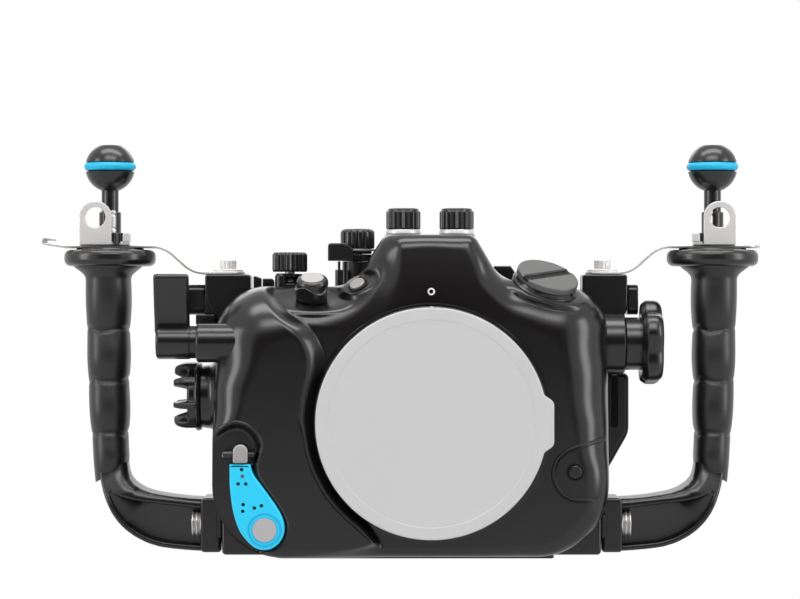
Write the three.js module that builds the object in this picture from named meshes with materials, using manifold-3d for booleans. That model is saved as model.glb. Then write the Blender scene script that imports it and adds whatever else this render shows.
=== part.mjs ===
// Underwater camera housing: a two-part aluminium shell with controls, two handles and ball mounts.
// Millimetres, +Z up. The front faces -Y and the origin lies on the underside of the base plate.

import * as THREE from "three";
import { mergeVertices } from "three/addons/utils/BufferGeometryUtils.js";
import Module from "manifold-3d";

// Fits and facets
const clearance = 0.3;
const overrun = 3;
const slack = 0.05;
const wideSides = 32;
const bossSides = 24;
const knobSides = 16;
const pinSides = 10;
const arcSteps = 5;
const edgeStep = 22;

// Housing body, seen from the front
const bodyHalf = 98.6;
const bodyFloor = 1.4;
const leftDeck = 135.8;
const rightDeckStep = 2.2;
const rightDeck = leftDeck - rightDeckStep;
const innerDeckRise = 5;
const innerDeck = rightDeck + innerDeckRise;
const domeHeight = 25.9;
const domeTop = leftDeck + domeHeight;
const domeLeft = 13.5;
const domeRight = 31;
const domeFootLeft = 30;
const domeFootRight = 44.5;
const shoulderRound = 22;
const footRound = 30;
const domeRound = 6;
const valleyRound = 12;
const rearFootRound = 8;
const wall = 6;

// Housing body, front to back
const facePlane = 56;
const partingPlane = 12;
const backPlane = 52;
const sideEdge = 22;
const deckEdge = 15;
const domeEdge = 9;
const floorEdge = 5;
const backEdge = 10;
const gripRise = 7;
const gripBand = 6.5;
const gripBlend = 8;
const gripEnd = 18;
const collarWidth = 1.6;
const portBore = 56;
const ringFlange = 4.3;
const ringOuter = portBore + ringFlange;
const ringRoom = 1.1;
const ringRecess = ringOuter + ringRoom;
const collarRadius = ringRecess + collarWidth;
const creaseX = 48;
const creaseZ = 103;
const creaseAngle = THREE.MathUtils.degToRad(126.7);
const leanStart = 122;
const leanBlend = 10;
const leanSlope = 0.45;
const cornerBlockDepth = 25;
const cornerBlockWidth = 28;

// Port and its cap
const portX = 9.7;
const portZ = 68;
const ringInset = 6;
const ringInner = portBore - ringInset;
const ringRise = 6;
const ringFront = facePlane + ringRise;
const ringNeckDepth = 8;
const ringNeckEnd = facePlane - ringNeckDepth;
const sealGroove = 3;
const sealDepth = 3.7;
const sealMiddle = facePlane - sealDepth;
const sealHalf = 1.7;
const sealSection = 1.4;
const ringEdge = 0.8;
const capFlange = 7.2;
const capRadius = ringInner + capFlange;
const capThick = 3.7;
const capFront = ringFront + capThick;
const capEdge = 1;
const capSkirtWall = 3.5;
const capSkirtGap = 3;
const capSkirtEnd = ringNeckEnd + capSkirtGap;
const capWeb = 4;
const capTabReach = ringOuter;
const capTabHalf = 12.2;
const capTabRound = 3;

// Base plate
const plateLeft = 67;
const plateRight = 71;
const plateFront = 45;
const plateBack = 8;
const plateThick = 3;
const plateHole = 2.1;
const plateHoleInset = 8;

// Shoulder posts with their strap bolts
const postRise = 6.1;
const postTop = leftDeck + postRise;
const postDepth = 11;
const leftPostJut = 6.7;
const leftPostOuter = bodyHalf + leftPostJut;
const leftPostWidth = 23.3;
const leftPostInner = leftPostOuter - leftPostWidth;
const leftPostDrop = 19.8;
const leftPostFoot = leftDeck - leftPostDrop;
const rightPostJut = 11.8;
const rightPostOuter = bodyHalf + rightPostJut;
const rightPostWidth = 23.2;
const rightPostInner = rightPostOuter - rightPostWidth;
const rightPostDrop = 10.8;
const rightPostFoot = rightDeck - rightPostDrop;
const postEdge = 1.5;
const postTaperDrop = 13.9;
const postTaper = postTop - postTaperDrop;
const postTaperRound = 24;
const leftBoltInset = 11.3;
const leftBoltX = leftPostInner + leftBoltInset;
const rightBoltInset = 10.9;
const rightBoltX = rightPostInner + rightBoltInset;
const washerRadius = 7.7;
const washerThick = 1.1;
const boltHead = 4.1;
const boltHeadHeight = 5;
const boltSocket = 2.2;
const boltSocketDepth = 2.6;
const boltShank = 2.5;
const boltDepth = 9;

// Latches on the outer faces of the posts
const latchDrop = 12.9;
const latchZ = postTop - latchDrop;
const latchY = 6;
const latchRadius = 7.6;
const leftLatchThick = 7;
const rightLatchThick = 5.5;
const latchShaft = 2.5;
const latchShaftDepth = 8;
const latchTail = 19;
const latchTailHalf = 4;

// Side brackets and handle arms
const bracketTuck = 1.3;
const bracketInner = bodyHalf - bracketTuck;
const bracketWidth = 9.7;
const bracketOuter = bracketInner + bracketWidth;
const bracketTop = 29;
const bracketStep = 22;
const bracketFloor = 1;
const bracketFront = 22;
const bracketBack = 11;
const bracketRound = 2;
const armFront = 20;
const armBack = 16;
const armElbowInset = 25.8;
const gripReach = 56.1;
const gripCentre = bodyHalf + gripReach;
const riserOuterReach = 7.1;
const riserOuter = gripCentre + riserOuterReach;
const armElbowX = riserOuter - armElbowInset;
const armElbowRound = 34;
const armKneeInset = 4;
const armKneeX = riserOuter - armKneeInset;
const armKneeZ = 20;
const armKneeRound = 26;
const riserInnerReach = 10.1;
const riserInner = gripCentre - riserInnerReach;
const riserTop = 39;
const armInnerRound = 9;
const armStep = 1;
const armTop = bracketTop + armStep;
const channelFloor = 5;
const channelTop = 22.5;
const channelInset = 12.3;
const channelEnd = riserOuter - channelInset;
const channelDepth = 12;
const channelRound = 7;
const armBoltY = 14.9;
const armBoltZ = 14.9;
const armBoltRadius = 6.6;
const armBoltSink = 1.2;
const armBoltInner = bracketOuter - armBoltSink;
const armBoltJut = 4.4;
const armBoltOuter = bracketOuter + armBoltJut;
const armBoltShank = 3;
const armBoltShankInset = 1.7;
const armBoltShankEnd = bracketInner + armBoltShankInset;
const armBoltGroove = 0.8;

// Grips and handle caps
const gripTop = 146.8;
const gripHalf = 11.8;
const gripFootHalf = 8.8;
const gripSides = 14;
const gripDepth = 16.5;
const gripRidge = 0.9;
const gripRidgeHalf = 1.4;
const gripRidgeShares = [0.203, 0.44, 0.693];
const gripSwell = 0.8;
const gripNeck = 8;
const gripFlare = 4.5;
const handleCapRadius = 23.5;
const handleCapThick = 7.7;
const handleCapTop = gripTop + handleCapThick;
const handleCapEdge = 1.6;
const handleCapDisc = 17;
const handleCapDiscHeight = 1;

// Straps, lugs and ball mounts
const strapThick = 1.5;
const strapHalf = 10;
const strapRise = handleCapTop + handleCapDiscHeight;
const strapRound = 9;
const strapCurlLength = 10;
const strapCurlInset = 24.8;
const strapCurlStart = gripCentre + strapCurlInset;
const strapCurlReach = strapCurlStart + strapCurlLength;
const strapCurlHeight = 4.8;
const strapCurlTop = strapRise + strapCurlHeight;
const strapFlatLength = 24.1;
const strapFlatReach = gripCentre + strapFlatLength;
const strapBendInset = 23.3;
const strapBendOuter = gripCentre - strapBendInset;
const strapBendGap = 2.8;
const strapBendInner = rightPostOuter + strapBendGap;
const strapEndInset = 8.6;
const lugThick = 2;
const lugHalf = 8.2;
const lugFront = 13;
const lugHeight = 22.2;
const lugTop = strapRise + strapThick + lugHeight;
const lugEye = 5.4;
const leftLugShift = 6.3;
const leftLugX = gripCentre + leftLugShift;
const rightLugShift = 2.5;
const rightLugX = gripCentre + rightLugShift;
const lugFootBack = 8;
const lugFootReach = 8;
const ballRadius = 12.7;
const ballFlat = 5.7;
const ballStem = 4.35;
const ballHubTop = 18.5;
const ballStemFoot = strapRise + ballHubTop;
const ballHub = 5.5;
const ballStemLength = 22.9;
const ballCentreZ = ballStemFoot + ballStemLength;
const ballFlange = 7.3;
const ballFlangeThick = 2.2;
const ballGrooveHalf = 2.05;
const ballGrooveFloor = 9.7;
const ballRingSection = 1.75;
const ballRingCentre = 11.75;
const ballBolt = 3;
const strapStud = ballBolt + clearance;
const ballBoltDepth = 6;

// Bulkheads on the dome
const bulkheadY = 15;
const leftBulkheadX = 4.1;
const rightBulkheadX = 23;
const bulkheadRing = 9.2;
const bulkheadRingHeight = 2.8;
const bulkheadRingTop = domeTop + bulkheadRingHeight;
const bulkheadNeck = 6.8;
const bulkheadNeckDepth = 9;
const bulkheadBore = 3;
const bulkheadCapRadius = 8.6;
const bulkheadCapHeight = 10.9;
const bulkheadCapTop = bulkheadRingTop + bulkheadCapHeight;
const bulkheadCapEdge = 1.1;
const bulkheadRib = 0.8;
const bulkheadRibs = 18;
const bulkheadPlug = bulkheadBore - clearance;
const bulkheadPlugDepth = 5;

// Slotted accessory plug on the right shoulder
const plugInset = 32.3;
const plugX = bodyHalf - plugInset;
const plugY = 37.6;
const plugRise = 1;
const plugZ = rightDeck + plugRise;
const plugAxis = new THREE.Vector3(0.25, -0.425, 0.87).normalize();
const plugRadius = 16;
const plugHeight = 4.1;
const plugEdge = 1.2;
const plugLift = 4;
const plugThread = 11;
const plugThreadDepth = 7;
const plugBossRadius = 16.9;
const plugBossDepth = 13;
const plugSlotHalf = 1.3;
const plugSlotDepth = 1.8;
const plugSlotAngle = THREE.MathUtils.degToRad(43);

// Power knob on the left front edge
const powerInset = 49.1;
const powerX = bodyHalf - powerInset;
const powerY = 40.1;
const powerDrop = 6.1;
const powerZ = leftDeck - powerDrop;
const powerTilt = THREE.MathUtils.degToRad(25.5);
const powerRadius = 8.7;
const powerHeight = 11.3;
const powerLobe = 1.1;
const powerLobes = 3;
const powerEdge = 1.8;
const powerRecess = 10.6;
const powerBossWall = 3;
const powerFloor = 5;

// Exposure knob, its turret and its gear pair
const exposureInset = 36.6;
const exposureX = bodyHalf - exposureInset;
const exposureY = 10;
const exposureRadius = 8.9;
const exposureGap = 0.8;
const turretRise = 6.6;
const turretTop = leftDeck + turretRise;
const exposureFoot = turretTop + exposureGap;
const exposureHeight = 9.9;
const exposureTop = exposureFoot + exposureHeight;
const exposureFlute = 0.8;
const exposureFlutes = 20;
const turretRadius = 5.6;
const shaftRadius = 2.5;
const stubRadius = 3.2;
const stubShift = 3.2;
const stubX = exposureX - stubShift;
const stubY = 14;
const postStubRadius = 2.4;
const postStubShift = 8;
const postStubX = exposureX + postStubShift;
const tabLeftShift = 19;
const tabLeft = exposureX + tabLeftShift;
const tabRightShift = 9;
const tabRight = exposureX + tabRightShift;
const tabRise = 4;
const tabTop = leftDeck + tabRise;
const tabHalf = 4;
const gearModule = 1.2;
const exposureTeeth = 14;
const idlerTeeth = 10;
const gearThick = 4;
const gearDrop = 6;
const deckDepth = 3.8;
const deckInside = leftDeck - deckDepth;
const gearTop = deckInside - gearDrop;
const idlerPin = 1.6;
const idlerBoss = 3.4;
const gearBacklash = 0.25;
const toothRootShare = 1.35;
const toothTipShare = 0.5;

// Mode knob and drive lever
const modeInset = 2.6;
const modeX = domeFootLeft - modeInset;
const modeY = 14;
const modeRadius = 8.7;
const modeLift = 6.4;
const driveRise = 12.8;
const driveFoot = leftDeck + driveRise;
const modeFoot = driveFoot + modeLift;
const modeHeight = 10;
const modeTop = modeFoot + modeHeight;
const modePost = 7.8;
const driveArmThick = 3.4;
const driveArmTop = driveFoot + driveArmThick;
const driveArmReach = 10;
const driveArmFront = modeY + driveArmReach;
const driveArmWidth = 9.6;
const driveArmLeft = modeX + driveArmWidth;
const driveTabOuter = 15.8;
const driveTabLeft = modeX + driveTabOuter;
const driveTabInner = 6;
const driveTabRight = modeX + driveTabInner;
const driveTabHeight = 9.2;
const driveTabTop = driveFoot + driveTabHeight;
const driveTabReach = 13;
const driveTabFront = modeY + driveTabReach;
const driveTabThick = 3.7;
const driveTabBack = driveTabFront - driveTabThick;
const driveHub = 8.4;
const drivePinShift = 9;
const drivePinX = modeX + drivePinShift;
const drivePinRadius = 2;
const drivePinRise = 8.2;
const drivePinTop = leftDeck + drivePinRise;

// Shutter lever on the left side
const shutterDrop = 21.5;
const shutterZ = latchZ - shutterDrop;
const shutterY = 22;
const shutterHub = 8.6;
const shutterHubLength = 16.2;
const shutterBossJut = 8.4;
const shutterBossEnd = bodyHalf + shutterBossJut;
const shutterCollarLength = 5.9;
const shutterInner = shutterBossEnd + shutterCollarLength;
const shutterOuter = shutterInner + shutterHubLength;
const shutterCollar = 8.4;
const shutterBoss = 9.7;
const paddleOverhang = 1.9;
const paddleLeft = shutterOuter + paddleOverhang;
const paddleRight = shutterInner;
const paddleHeight = 34.5;
const paddleTop = shutterZ + paddleHeight;
const paddleThick = 4;
const paddleLean = 7;

// Main dial on the left side
const dialDrop = 27.7;
const dialZ = shutterZ - dialDrop;
const dialY = 15;
const dialRadius = 17.6;
const dialBossJut = 8.6;
const dialBossEnd = bodyHalf + dialBossJut;
const dialInner = dialBossEnd + clearance;
const dialThick = 6.6;
const dialWeb = dialInner + dialThick;
const dialFinHeight = 6.5;
const dialTip = dialWeb + dialFinHeight;
const dialBoss = 15.6;
const dialFins = 6;
const dialFinHalf = 2.3;
const dialHub = 6;

// Focus knob on the right side
const focusDrop = 22.4;
const focusZ = latchZ - focusDrop;
const focusY = 12;
const focusRadius = 22.2;
const focusCollarLength = 7.6;
const focusBossJut = 10.4;
const focusBossEnd = bodyHalf + focusBossJut;
const focusInner = focusBossEnd + focusCollarLength;
const focusThick = 10.8;
const focusOuter = focusInner + focusThick;
const focusLobes = 5;
const focusScallop = 3.4;
const focusEdge = 2;
const focusCollar = 13.4;
const focusBoss = 15.6;

// Port-lock lever and its pawl, in the pocket at the lower left
const pivotInset = 26.2;
const pivotX = bodyHalf - pivotInset;
const pivotZ = 15.7;
const pocketRise = 2.5;
const pocketFloor = facePlane + pocketRise;
const leverBack = pocketFloor + clearance;
const leverThick = 6;
const leverFront = leverBack + leverThick;
const leverTop = 32.3;
const leverLeft = 17.2;
const leverRight = 7;
const leverLobe = 10.1;
const leverShaft = 3;
const leverShaftDepth = 6;
const pawlInset = 14.2;
const pawlX = bodyHalf - pawlInset;
const pawlHalf = 3.6;
const pawlHeight = 5.1;
const pawlPinRise = 36.9;
const pawlPinZ = pivotZ + pawlPinRise;
const pawlTop = pawlPinZ + pawlHeight;
const pawlThick = 5;
const pawlJut = 0.2;
const pawlFront = leverFront + pawlJut;
const pawlBack = pawlFront - pawlThick;
const pawlPinDepth = 2;
const pawlPinY = pawlBack + pawlPinDepth;
const pawlPinRadius = 1.4;
const pawlPinHalf = 7;
const pawlEarThick = 2.8;
const pawlEarHalf = 3.4;
const pawlPocketSink = 0.5;
const pawlPocketFloor = facePlane - pawlPocketSink;
const pocketRightReach = 13.6;
const pocketWaistInset = 23;
const pocketWaistX = bodyHalf - pocketWaistInset;
const pocketWaistRise = 30.3;
const pocketWaistZ = pivotZ + pocketWaistRise;
const pocketHeadInset = 25.8;
const pocketHeadX = bodyHalf - pocketHeadInset;
const pocketHeadGap = 11.3;
const pocketHeadZ = pawlTop + pocketHeadGap;
const pocketRound = 10;

// Lens-release button on its pad, and the oval front button
const releaseInset = 17.7;
const releaseX = bodyHalf - releaseInset;
const releaseZ = 43.8;
const releaseRadius = 3.1;
const releaseProud = 1.4;
const releaseDepth = 10;
const releaseInner = facePlane - releaseDepth;
const releasePad = 14;
const releasePadRise = 2;
const releasePadFront = facePlane + releasePadRise;
const releasePadShift = 2.1;
const releasePadX = releaseX + releasePadShift;
const ovalShift = 0.2;
const ovalX = modeX - ovalShift;
const ovalY = 45;
const ovalRise = 1.3;
const ovalZ = leftDeck + ovalRise;
const ovalAxis = new THREE.Vector3(-0.35, -0.545, 0.76).normalize();
const ovalRadius = 3.9;
const ovalHeight = 2.8;
const ovalStem = 1.8;
const ovalRecess = 5.2;
const ovalRim = 7.4;
const ovalFloor = 4;
const ovalGap = 1.8;
const ovalBossDepth = 9;
const ovalBossLift = 0.8;

// Rear shell and what it carries
const windowX = 6;
const windowZ = 67;
const windowHalfX = 43;
const windowHalfZ = 31;
const windowRound = 6;
const windowDepth = 5;
const windowSeat = backPlane - windowDepth;
const windowLedge = 3;
const windowPilot = 22;
const frameBorder = 6;
const frameLip = 2.4;
const frameThick = 4;
const frameLipThick = 1.6;
const mainSealWidth = 2.2;
const mainSealDepth = 1.9;
const mainSealInset = 1.8;
const mainSealSlack = 0.2;
const finderX = 9.7;
const finderDrop = 24.7;
const finderZ = domeTop - finderDrop;
const finderOuter = 17;
const finderInner = 12.6;
const finderLength = 23;
const finderEnd = backPlane + finderLength;
const finderGlassThick = 4;
const finderGlassDepth = 9;
const finderGlassFront = finderEnd - finderGlassDepth;
const finderLip = 1.9;
const finderThroat = finderInner - finderLip;
const finderEdge = 1.5;
const finderBoss = 18.4;
const guardJut = 13.8;
const guardReach = bodyHalf + guardJut;
const guardHeight = 51;
const guardFoot = 40;
const guardTop = guardFoot + guardHeight;
const guardFront = 16;
const guardThick = 18;
const guardBack = guardFront + guardThick;
const rearDialInset = 28.6;
const rearDialX = bodyHalf - rearDialInset;
const rearDialZ = 112;
const rearDialRadius = 11;
const rearDialThick = 9;
const rearKnurl = 0.7;
const rearKnurls = 18;
const thumbInset = 16.6;
const thumbX = bodyHalf - thumbInset;
const thumbZ = 92;
const thumbHub = 5;
const thumbReach = 17;
const thumbTip = 4.4;
const thumbThick = 5;
const rearButtonRadius = 4.2;
const rearButtonProud = 4.5;
const rearButtonTravel = 1.8;
const rearButtonStem = 2;
const rearButtonEdge = 0.7;
const okInset = 28.6;
const okX = bodyHalf - okInset;
const okZ = 68;
const okRing = 12;
const okRingHeight = 2;
const okRadius = 5.4;
const playbackInset = 18.6;
const playbackX = bodyHalf - playbackInset;
const playbackZ = 41;
const deleteInset = 37.6;
const deleteX = bodyHalf - deleteInset;
const deleteZ = 41;
const menuInset = 45.6;
const menuX = bodyHalf - menuInset;
const menuZ = 118;
const rearInnerDepth = 9;
const rearInnerEnd = backPlane - rearInnerDepth;

// Camera tray and leak sensor board
const trayLeft = 45;
const trayRight = 55;
const trayFront = 32;
const trayBack = 24;
const trayTop = 24;
const trayGrooveHalf = 12;
const trayGrooveDepth = 6;
const boardBottom = 38;
const boardHeight = 22;
const boardTop = boardBottom + boardHeight;
const boardLength = 26;
const boardBack = 6;
const boardFront = boardBack + boardLength;
const boardThick = 1.6;

// Finishes
const looks = {
  anodised: { color: 0x252325, roughness: 0.42, metalness: 0.75 },
  handle: { color: 0x1f1e20, roughness: 0.5, metalness: 0.6 },
  rubber: { color: 0x1b1a1b, roughness: 0.85, metalness: 0 },
  steel: { color: 0xcfcdcb, roughness: 0.25, metalness: 1 },
  grey: { color: 0xaaa5a5, roughness: 0.4, metalness: 0.7 },
  cap: { color: 0xc9c9c9, roughness: 0.55, metalness: 0 },
  teal: { color: 0x3cd7f5, roughness: 0.45, metalness: 0 },
  glass: { color: 0xd8e4e6, roughness: 0.05, metalness: 0, transparent: true, opacity: 0.35 },
  board: { color: 0x1f6b3a, roughness: 0.6, metalness: 0 },
};

const toRight = new THREE.Vector3(1, 0, 0);
const toLeft = new THREE.Vector3(-1, 0, 0);
const toBack = new THREE.Vector3(0, 1, 0);
const toFront = new THREE.Vector3(0, -1, 0);
const upward = new THREE.Vector3(0, 0, 1);

const wasm = await Module();
wasm.setup();
const housing = new THREE.Group();

// A closed geometry as a solid: corners merged, flat slivers dropped, faces turned outward.
function solid(geometry) {
  geometry.deleteAttribute("normal");
  geometry.deleteAttribute("uv");
  const merged = mergeVertices(geometry);
  const place = merged.getAttribute("position").array;
  const index = merged.getIndex().array;
  const faces = [];
  let volume = 0;
  for (let i = 0; i < index.length; i += 3) {
    const [a, b, c] = [index[i], index[i + 1], index[i + 2]];
    if (a === b || b === c || c === a) continue;
    faces.push(a, b, c);
    const corners = [a, b, c].map((k) => new THREE.Vector3().fromArray(place, 3 * k));
    volume += corners[0].dot(corners[1].cross(corners[2]));
  }
  if (volume < 0) faces.reverse();
  return new wasm.Manifold(
    new wasm.Mesh({
      numProp: 3,
      vertProperties: new Float32Array(place),
      triVerts: new Uint32Array(faces),
    })
  );
}

// A solid as a named sub-part, standing at its own place with its own +Z along an axis.
function piece(name, body, look, at = new THREE.Vector3(), axis = upward) {
  const mesh = body.asOriginal().simplify(slack).getMesh();
  const geometry = new THREE.BufferGeometry();
  geometry.setAttribute("position", new THREE.BufferAttribute(mesh.vertProperties, 3));
  geometry.setIndex(new THREE.BufferAttribute(mesh.triVerts, 1));
  geometry.computeVertexNormals();
  const part = new THREE.Mesh(geometry, new THREE.MeshStandardMaterial(look));
  part.name = name;
  part.position.copy(at);
  part.quaternion.setFromUnitVectors(upward, axis);
  housing.add(part);
}

// Moves a geometry built round +Z so that it stands at a point, along an axis.
function stand(geometry, at, axis) {
  const turn = new THREE.Quaternion().setFromUnitVectors(upward, axis);
  return geometry.applyQuaternion(turn).translate(at.x, at.y, at.z);
}

// A turned solid: pairs of radius and distance along the axis, spun round it.
function turned(profile, sides, at = new THREE.Vector3(), axis = upward) {
  const points = profile.map(([radius, along]) => new THREE.Vector2(radius, along));
  const lathe = new THREE.LatheGeometry(points, sides).rotateX(Math.PI / 2);
  return solid(stand(lathe, at, axis));
}

// A plain rod between two distances along an axis through a point.
function rod(radius, from, to, sides, at = new THREE.Vector3(), axis = upward) {
  return turned([[0, from], [radius, from], [radius, to], [0, to]], sides, at, axis);
}

// A box between its lowest and highest corners.
function box(low, high) {
  const size = high.map((value, i) => value - low[i]);
  const middle = high.map((value, i) => (value + low[i]) / 2);
  return solid(new THREE.BoxGeometry(...size).translate(...middle));
}

// The points of one rounded corner, between its two straight sides.
function cornerArc(before, [x, z, radius, mark], after) {
  const here = new THREE.Vector2(x, z);
  const inward = new THREE.Vector2(before[0], before[1]).sub(here).normalize();
  const outward = new THREE.Vector2(after[0], after[1]).sub(here).normalize();
  const turn = Math.PI - Math.acos(THREE.MathUtils.clamp(inward.dot(outward), -1, 1));
  if (radius === 0) return [Object.assign(here, { mark })];
  const start = here.clone().addScaledVector(inward, radius * Math.tan(turn / 2));
  const bisector = inward.add(outward).normalize();
  const centre = here.clone().addScaledVector(bisector, radius / Math.cos(turn / 2));
  const arm = start.sub(centre);
  const toCorner = here.sub(centre);
  const sense = Math.sign(arm.cross(toCorner));
  const steps = Math.max(1, Math.round((arcSteps * turn) / (Math.PI / 2)));
  return Array.from({ length: steps + 1 }, (_, k) => {
    const point = arm.clone().rotateAround(new THREE.Vector2(), (sense * turn * k) / steps);
    return Object.assign(point.add(centre), { mark });
  });
}

// A closed outline from corners [across, up, radius, mark]; long sides get points in between.
function roundedOutline(corners, step = Infinity) {
  const count = corners.length;
  const arcs = corners.map((corner, i) => cornerArc(corners.at(i - 1), corner, corners[(i + 1) % count]));
  return arcs.flatMap((arc, i) => {
    const last = arc.at(-1);
    const next = arcs[(i + 1) % count][0];
    const parts = Math.max(1, Math.ceil(last.distanceTo(next) / step));
    const between = Array.from({ length: parts - 1 }, (_, k) => {
      const share = (k + 1) / parts;
      const mark = THREE.MathUtils.lerp(last.mark, next.mark, share);
      return Object.assign(last.clone().lerp(next, share), { mark });
    });
    return [...arc, ...between];
  });
}

// Directions of an outline's own two coordinates and of its thickness, for slabs across X, Y and Z.
const slabFrames = {
  X: [toBack, upward, toRight],
  Y: [toRight, upward, toFront],
  Z: [toRight, toBack, upward],
};

// A flat slab: an outline carried along X, Y or Z between two places, with optional round holes.
function slab(outline, across, from, to, holes = []) {
  const shape = new THREE.Shape(outline);
  holes.forEach(([x, z, radius]) => {
    shape.holes.push(new THREE.Path().absarc(x, z, radius, 0, 2 * Math.PI));
  });
  const extrude = { depth: to - from, bevelEnabled: false, curveSegments: Math.round(pinSides / 2) };
  const geometry = new THREE.ExtrudeGeometry(shape, extrude);
  const frame = slabFrames[across];
  geometry.applyMatrix4(new THREE.Matrix4().makeBasis(...frame));
  const start = across === "Y" ? to : from;
  const shift = new THREE.Vector3();
  shift[across.toLowerCase()] = start;
  return solid(geometry.translate(shift.x, shift.y, shift.z));
}

// A geometry from rings of points, joined one to the next; closed rings of rings or capped ends.
function loft(rings, capped) {
  const around = rings[0].length;
  const points = rings.flat();
  const faces = [];
  const spans = capped ? rings.length - 1 : rings.length;
  for (let i = 0; i < spans; i++) {
    for (let j = 0; j < around; j++) {
      const next = (j + 1) % around;
      const [a, b] = [i * around + j, i * around + next];
      const above = ((i + 1) % rings.length) * around;
      faces.push(a, b, above + next, a, above + next, above + j);
    }
  }
  if (capped) {
    [0, rings.length - 1].forEach((i) => {
      const middle = new THREE.Vector3();
      rings[i].forEach((point) => middle.addScaledVector(point, 1 / around));
      points.push(middle);
      for (let j = 0; j < around; j++) {
        const side = [i * around + j, i * around + ((j + 1) % around)];
        faces.push(points.length - 1, ...(i === 0 ? side.reverse() : side));
      }
    });
  }
  const geometry = new THREE.BufferGeometry();
  const flat = new Float32Array(points.flatMap((point) => point.toArray()));
  geometry.setAttribute("position", new THREE.BufferAttribute(flat, 3));
  geometry.setIndex(faces);
  return geometry;
}

// A ring round +Z whose radius dips evenly a number of times, as on a fluted or scalloped knob.
function flutedRing(radius, dip, flutes, height, perFlute) {
  const count = flutes * perFlute;
  return Array.from({ length: count }, (_, k) => {
    const angle = (2 * Math.PI * k) / count;
    const reach = radius - (dip * (1 - Math.cos(flutes * angle))) / 2;
    return new THREE.Vector3(reach * Math.cos(angle), reach * Math.sin(angle), height);
  });
}

// A fluted knob round +Z from its foot to its top, with a bevelled rim of a given size.
function flutedKnob(radius, dip, flutes, foot, top, edge, perFlute = 4) {
  const ring = (inset, height) => flutedRing(radius - inset, dip, flutes, height, perFlute);
  const rings = [ring(edge / 2, foot), ring(0, foot + edge / 2), ring(0, top - edge), ring(edge, top)];
  return solid(loft(rings, true));
}

function join(first, ...others) {
  return others.reduce((body, other) => body.add(other), first);
}

function cut(first, ...others) {
  return others.reduce((body, other) => body.subtract(other), first);
}

const at = (x, y, z) => new THREE.Vector3(x, y, z);
const smooth = (value) => THREE.MathUtils.smoothstep(value, 0, 1);

// Corners of the housing's outline, each with its rounding and how far the face edge is rounded.
function bodyCorners(foot) {
  return [
    [-bodyHalf, bodyFloor, foot, floorEdge],
    [-bodyHalf, leftDeck, shoulderRound, sideEdge],
    [-domeFootLeft, leftDeck, valleyRound, deckEdge],
    [-domeLeft, domeTop, domeRound, domeEdge],
    [domeRight, domeTop, domeRound, domeEdge],
    [domeFootRight, innerDeck, valleyRound, deckEdge],
    [bodyHalf, rightDeck, shoulderRound, sideEdge],
    [bodyHalf, bodyFloor, foot, floorEdge],
  ];
}

// Where the front face lies: flat round the port, raised on the hand side, leaning back over the dome.
function faceAt(x, z) {
  const fromCollar = Math.hypot(x - portX, z - portZ) - collarRadius;
  const [dx, dz] = [x + creaseX, z - creaseZ];
  const fromCrease = dz * Math.cos(creaseAngle) - dx * Math.sin(creaseAngle);
  const nearer = (fromCollar + fromCrease - Math.hypot(fromCollar - fromCrease, gripBlend)) / 2;
  const handSide = smooth((-gripEnd - x) / gripBand);
  const rise = gripRise * smooth((nearer + gripBlend / 4) / gripBand + 1) * handSide;
  const above = z - leanStart;
  const lean = (leanSlope * (above + Math.hypot(above, leanBlend))) / 2;
  return lean - facePlane - rise;
}

// The nearest place of an outline: how far it is, and how much its edge is rounded there.
function nearestEdge(outline, x, z) {
  const here = new THREE.Vector2(x, z);
  let best = { distance: Infinity, mark: 0 };
  outline.forEach((start, i) => {
    const end = outline[(i + 1) % outline.length];
    const side = end.clone().sub(start);
    const share = THREE.MathUtils.clamp(here.clone().sub(start).dot(side) / side.lengthSq(), 0, 1);
    const distance = start.clone().addScaledVector(side, share).distanceTo(here);
    const mark = THREE.MathUtils.lerp(start.mark, end.mark, share);
    if (distance < best.distance) best = { distance, mark };
  });
  return best;
}

// How far a rounded edge falls back at a distance inside its outline.
function edgeDrop({ distance, mark }) {
  const left = Math.max(mark - distance, 0);
  return mark - Math.sqrt(Math.max(mark * mark - left * left, 0));
}

const steepestSkew = 0.6;

// Columns from an opening's edge out to the outline, along rays from the opening's middle.
function columns(outline, middle, openingReach) {
  return outline.map((edge, i) => {
    const arm = edge.clone().sub(middle);
    const far = arm.length();
    const ray = arm.divideScalar(far);
    const near = openingReach(ray);
    const point = (distance) => middle.clone().addScaledVector(ray, distance);
    const before = outline.at(i - 1);
    const after = outline[(i + 1) % outline.length];
    const side = after.clone().sub(before).normalize();
    const skew = 1 / Math.max(Math.abs(ray.cross(side)), steepestSkew);
    return { near, far, skew, mark: edge.mark, point };
  });
}

// Shares of the way from the opening to the outline at which the face has a ring of points.
const faceShares = [0, 0.12, 0.3, 0.48, 0.64, 0.78, 0.89, 0.97];
const insideShares = [0.62, 0.3];

// One ring of points of a shell, at a distance along each column and a place front to back.
function shellRing(spokes, distanceOf, depthOf) {
  return spokes.map((spoke) => {
    const point = spoke.point(distanceOf(spoke));
    return at(point.x, depthOf(point, spoke), point.y);
  });
}

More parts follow.
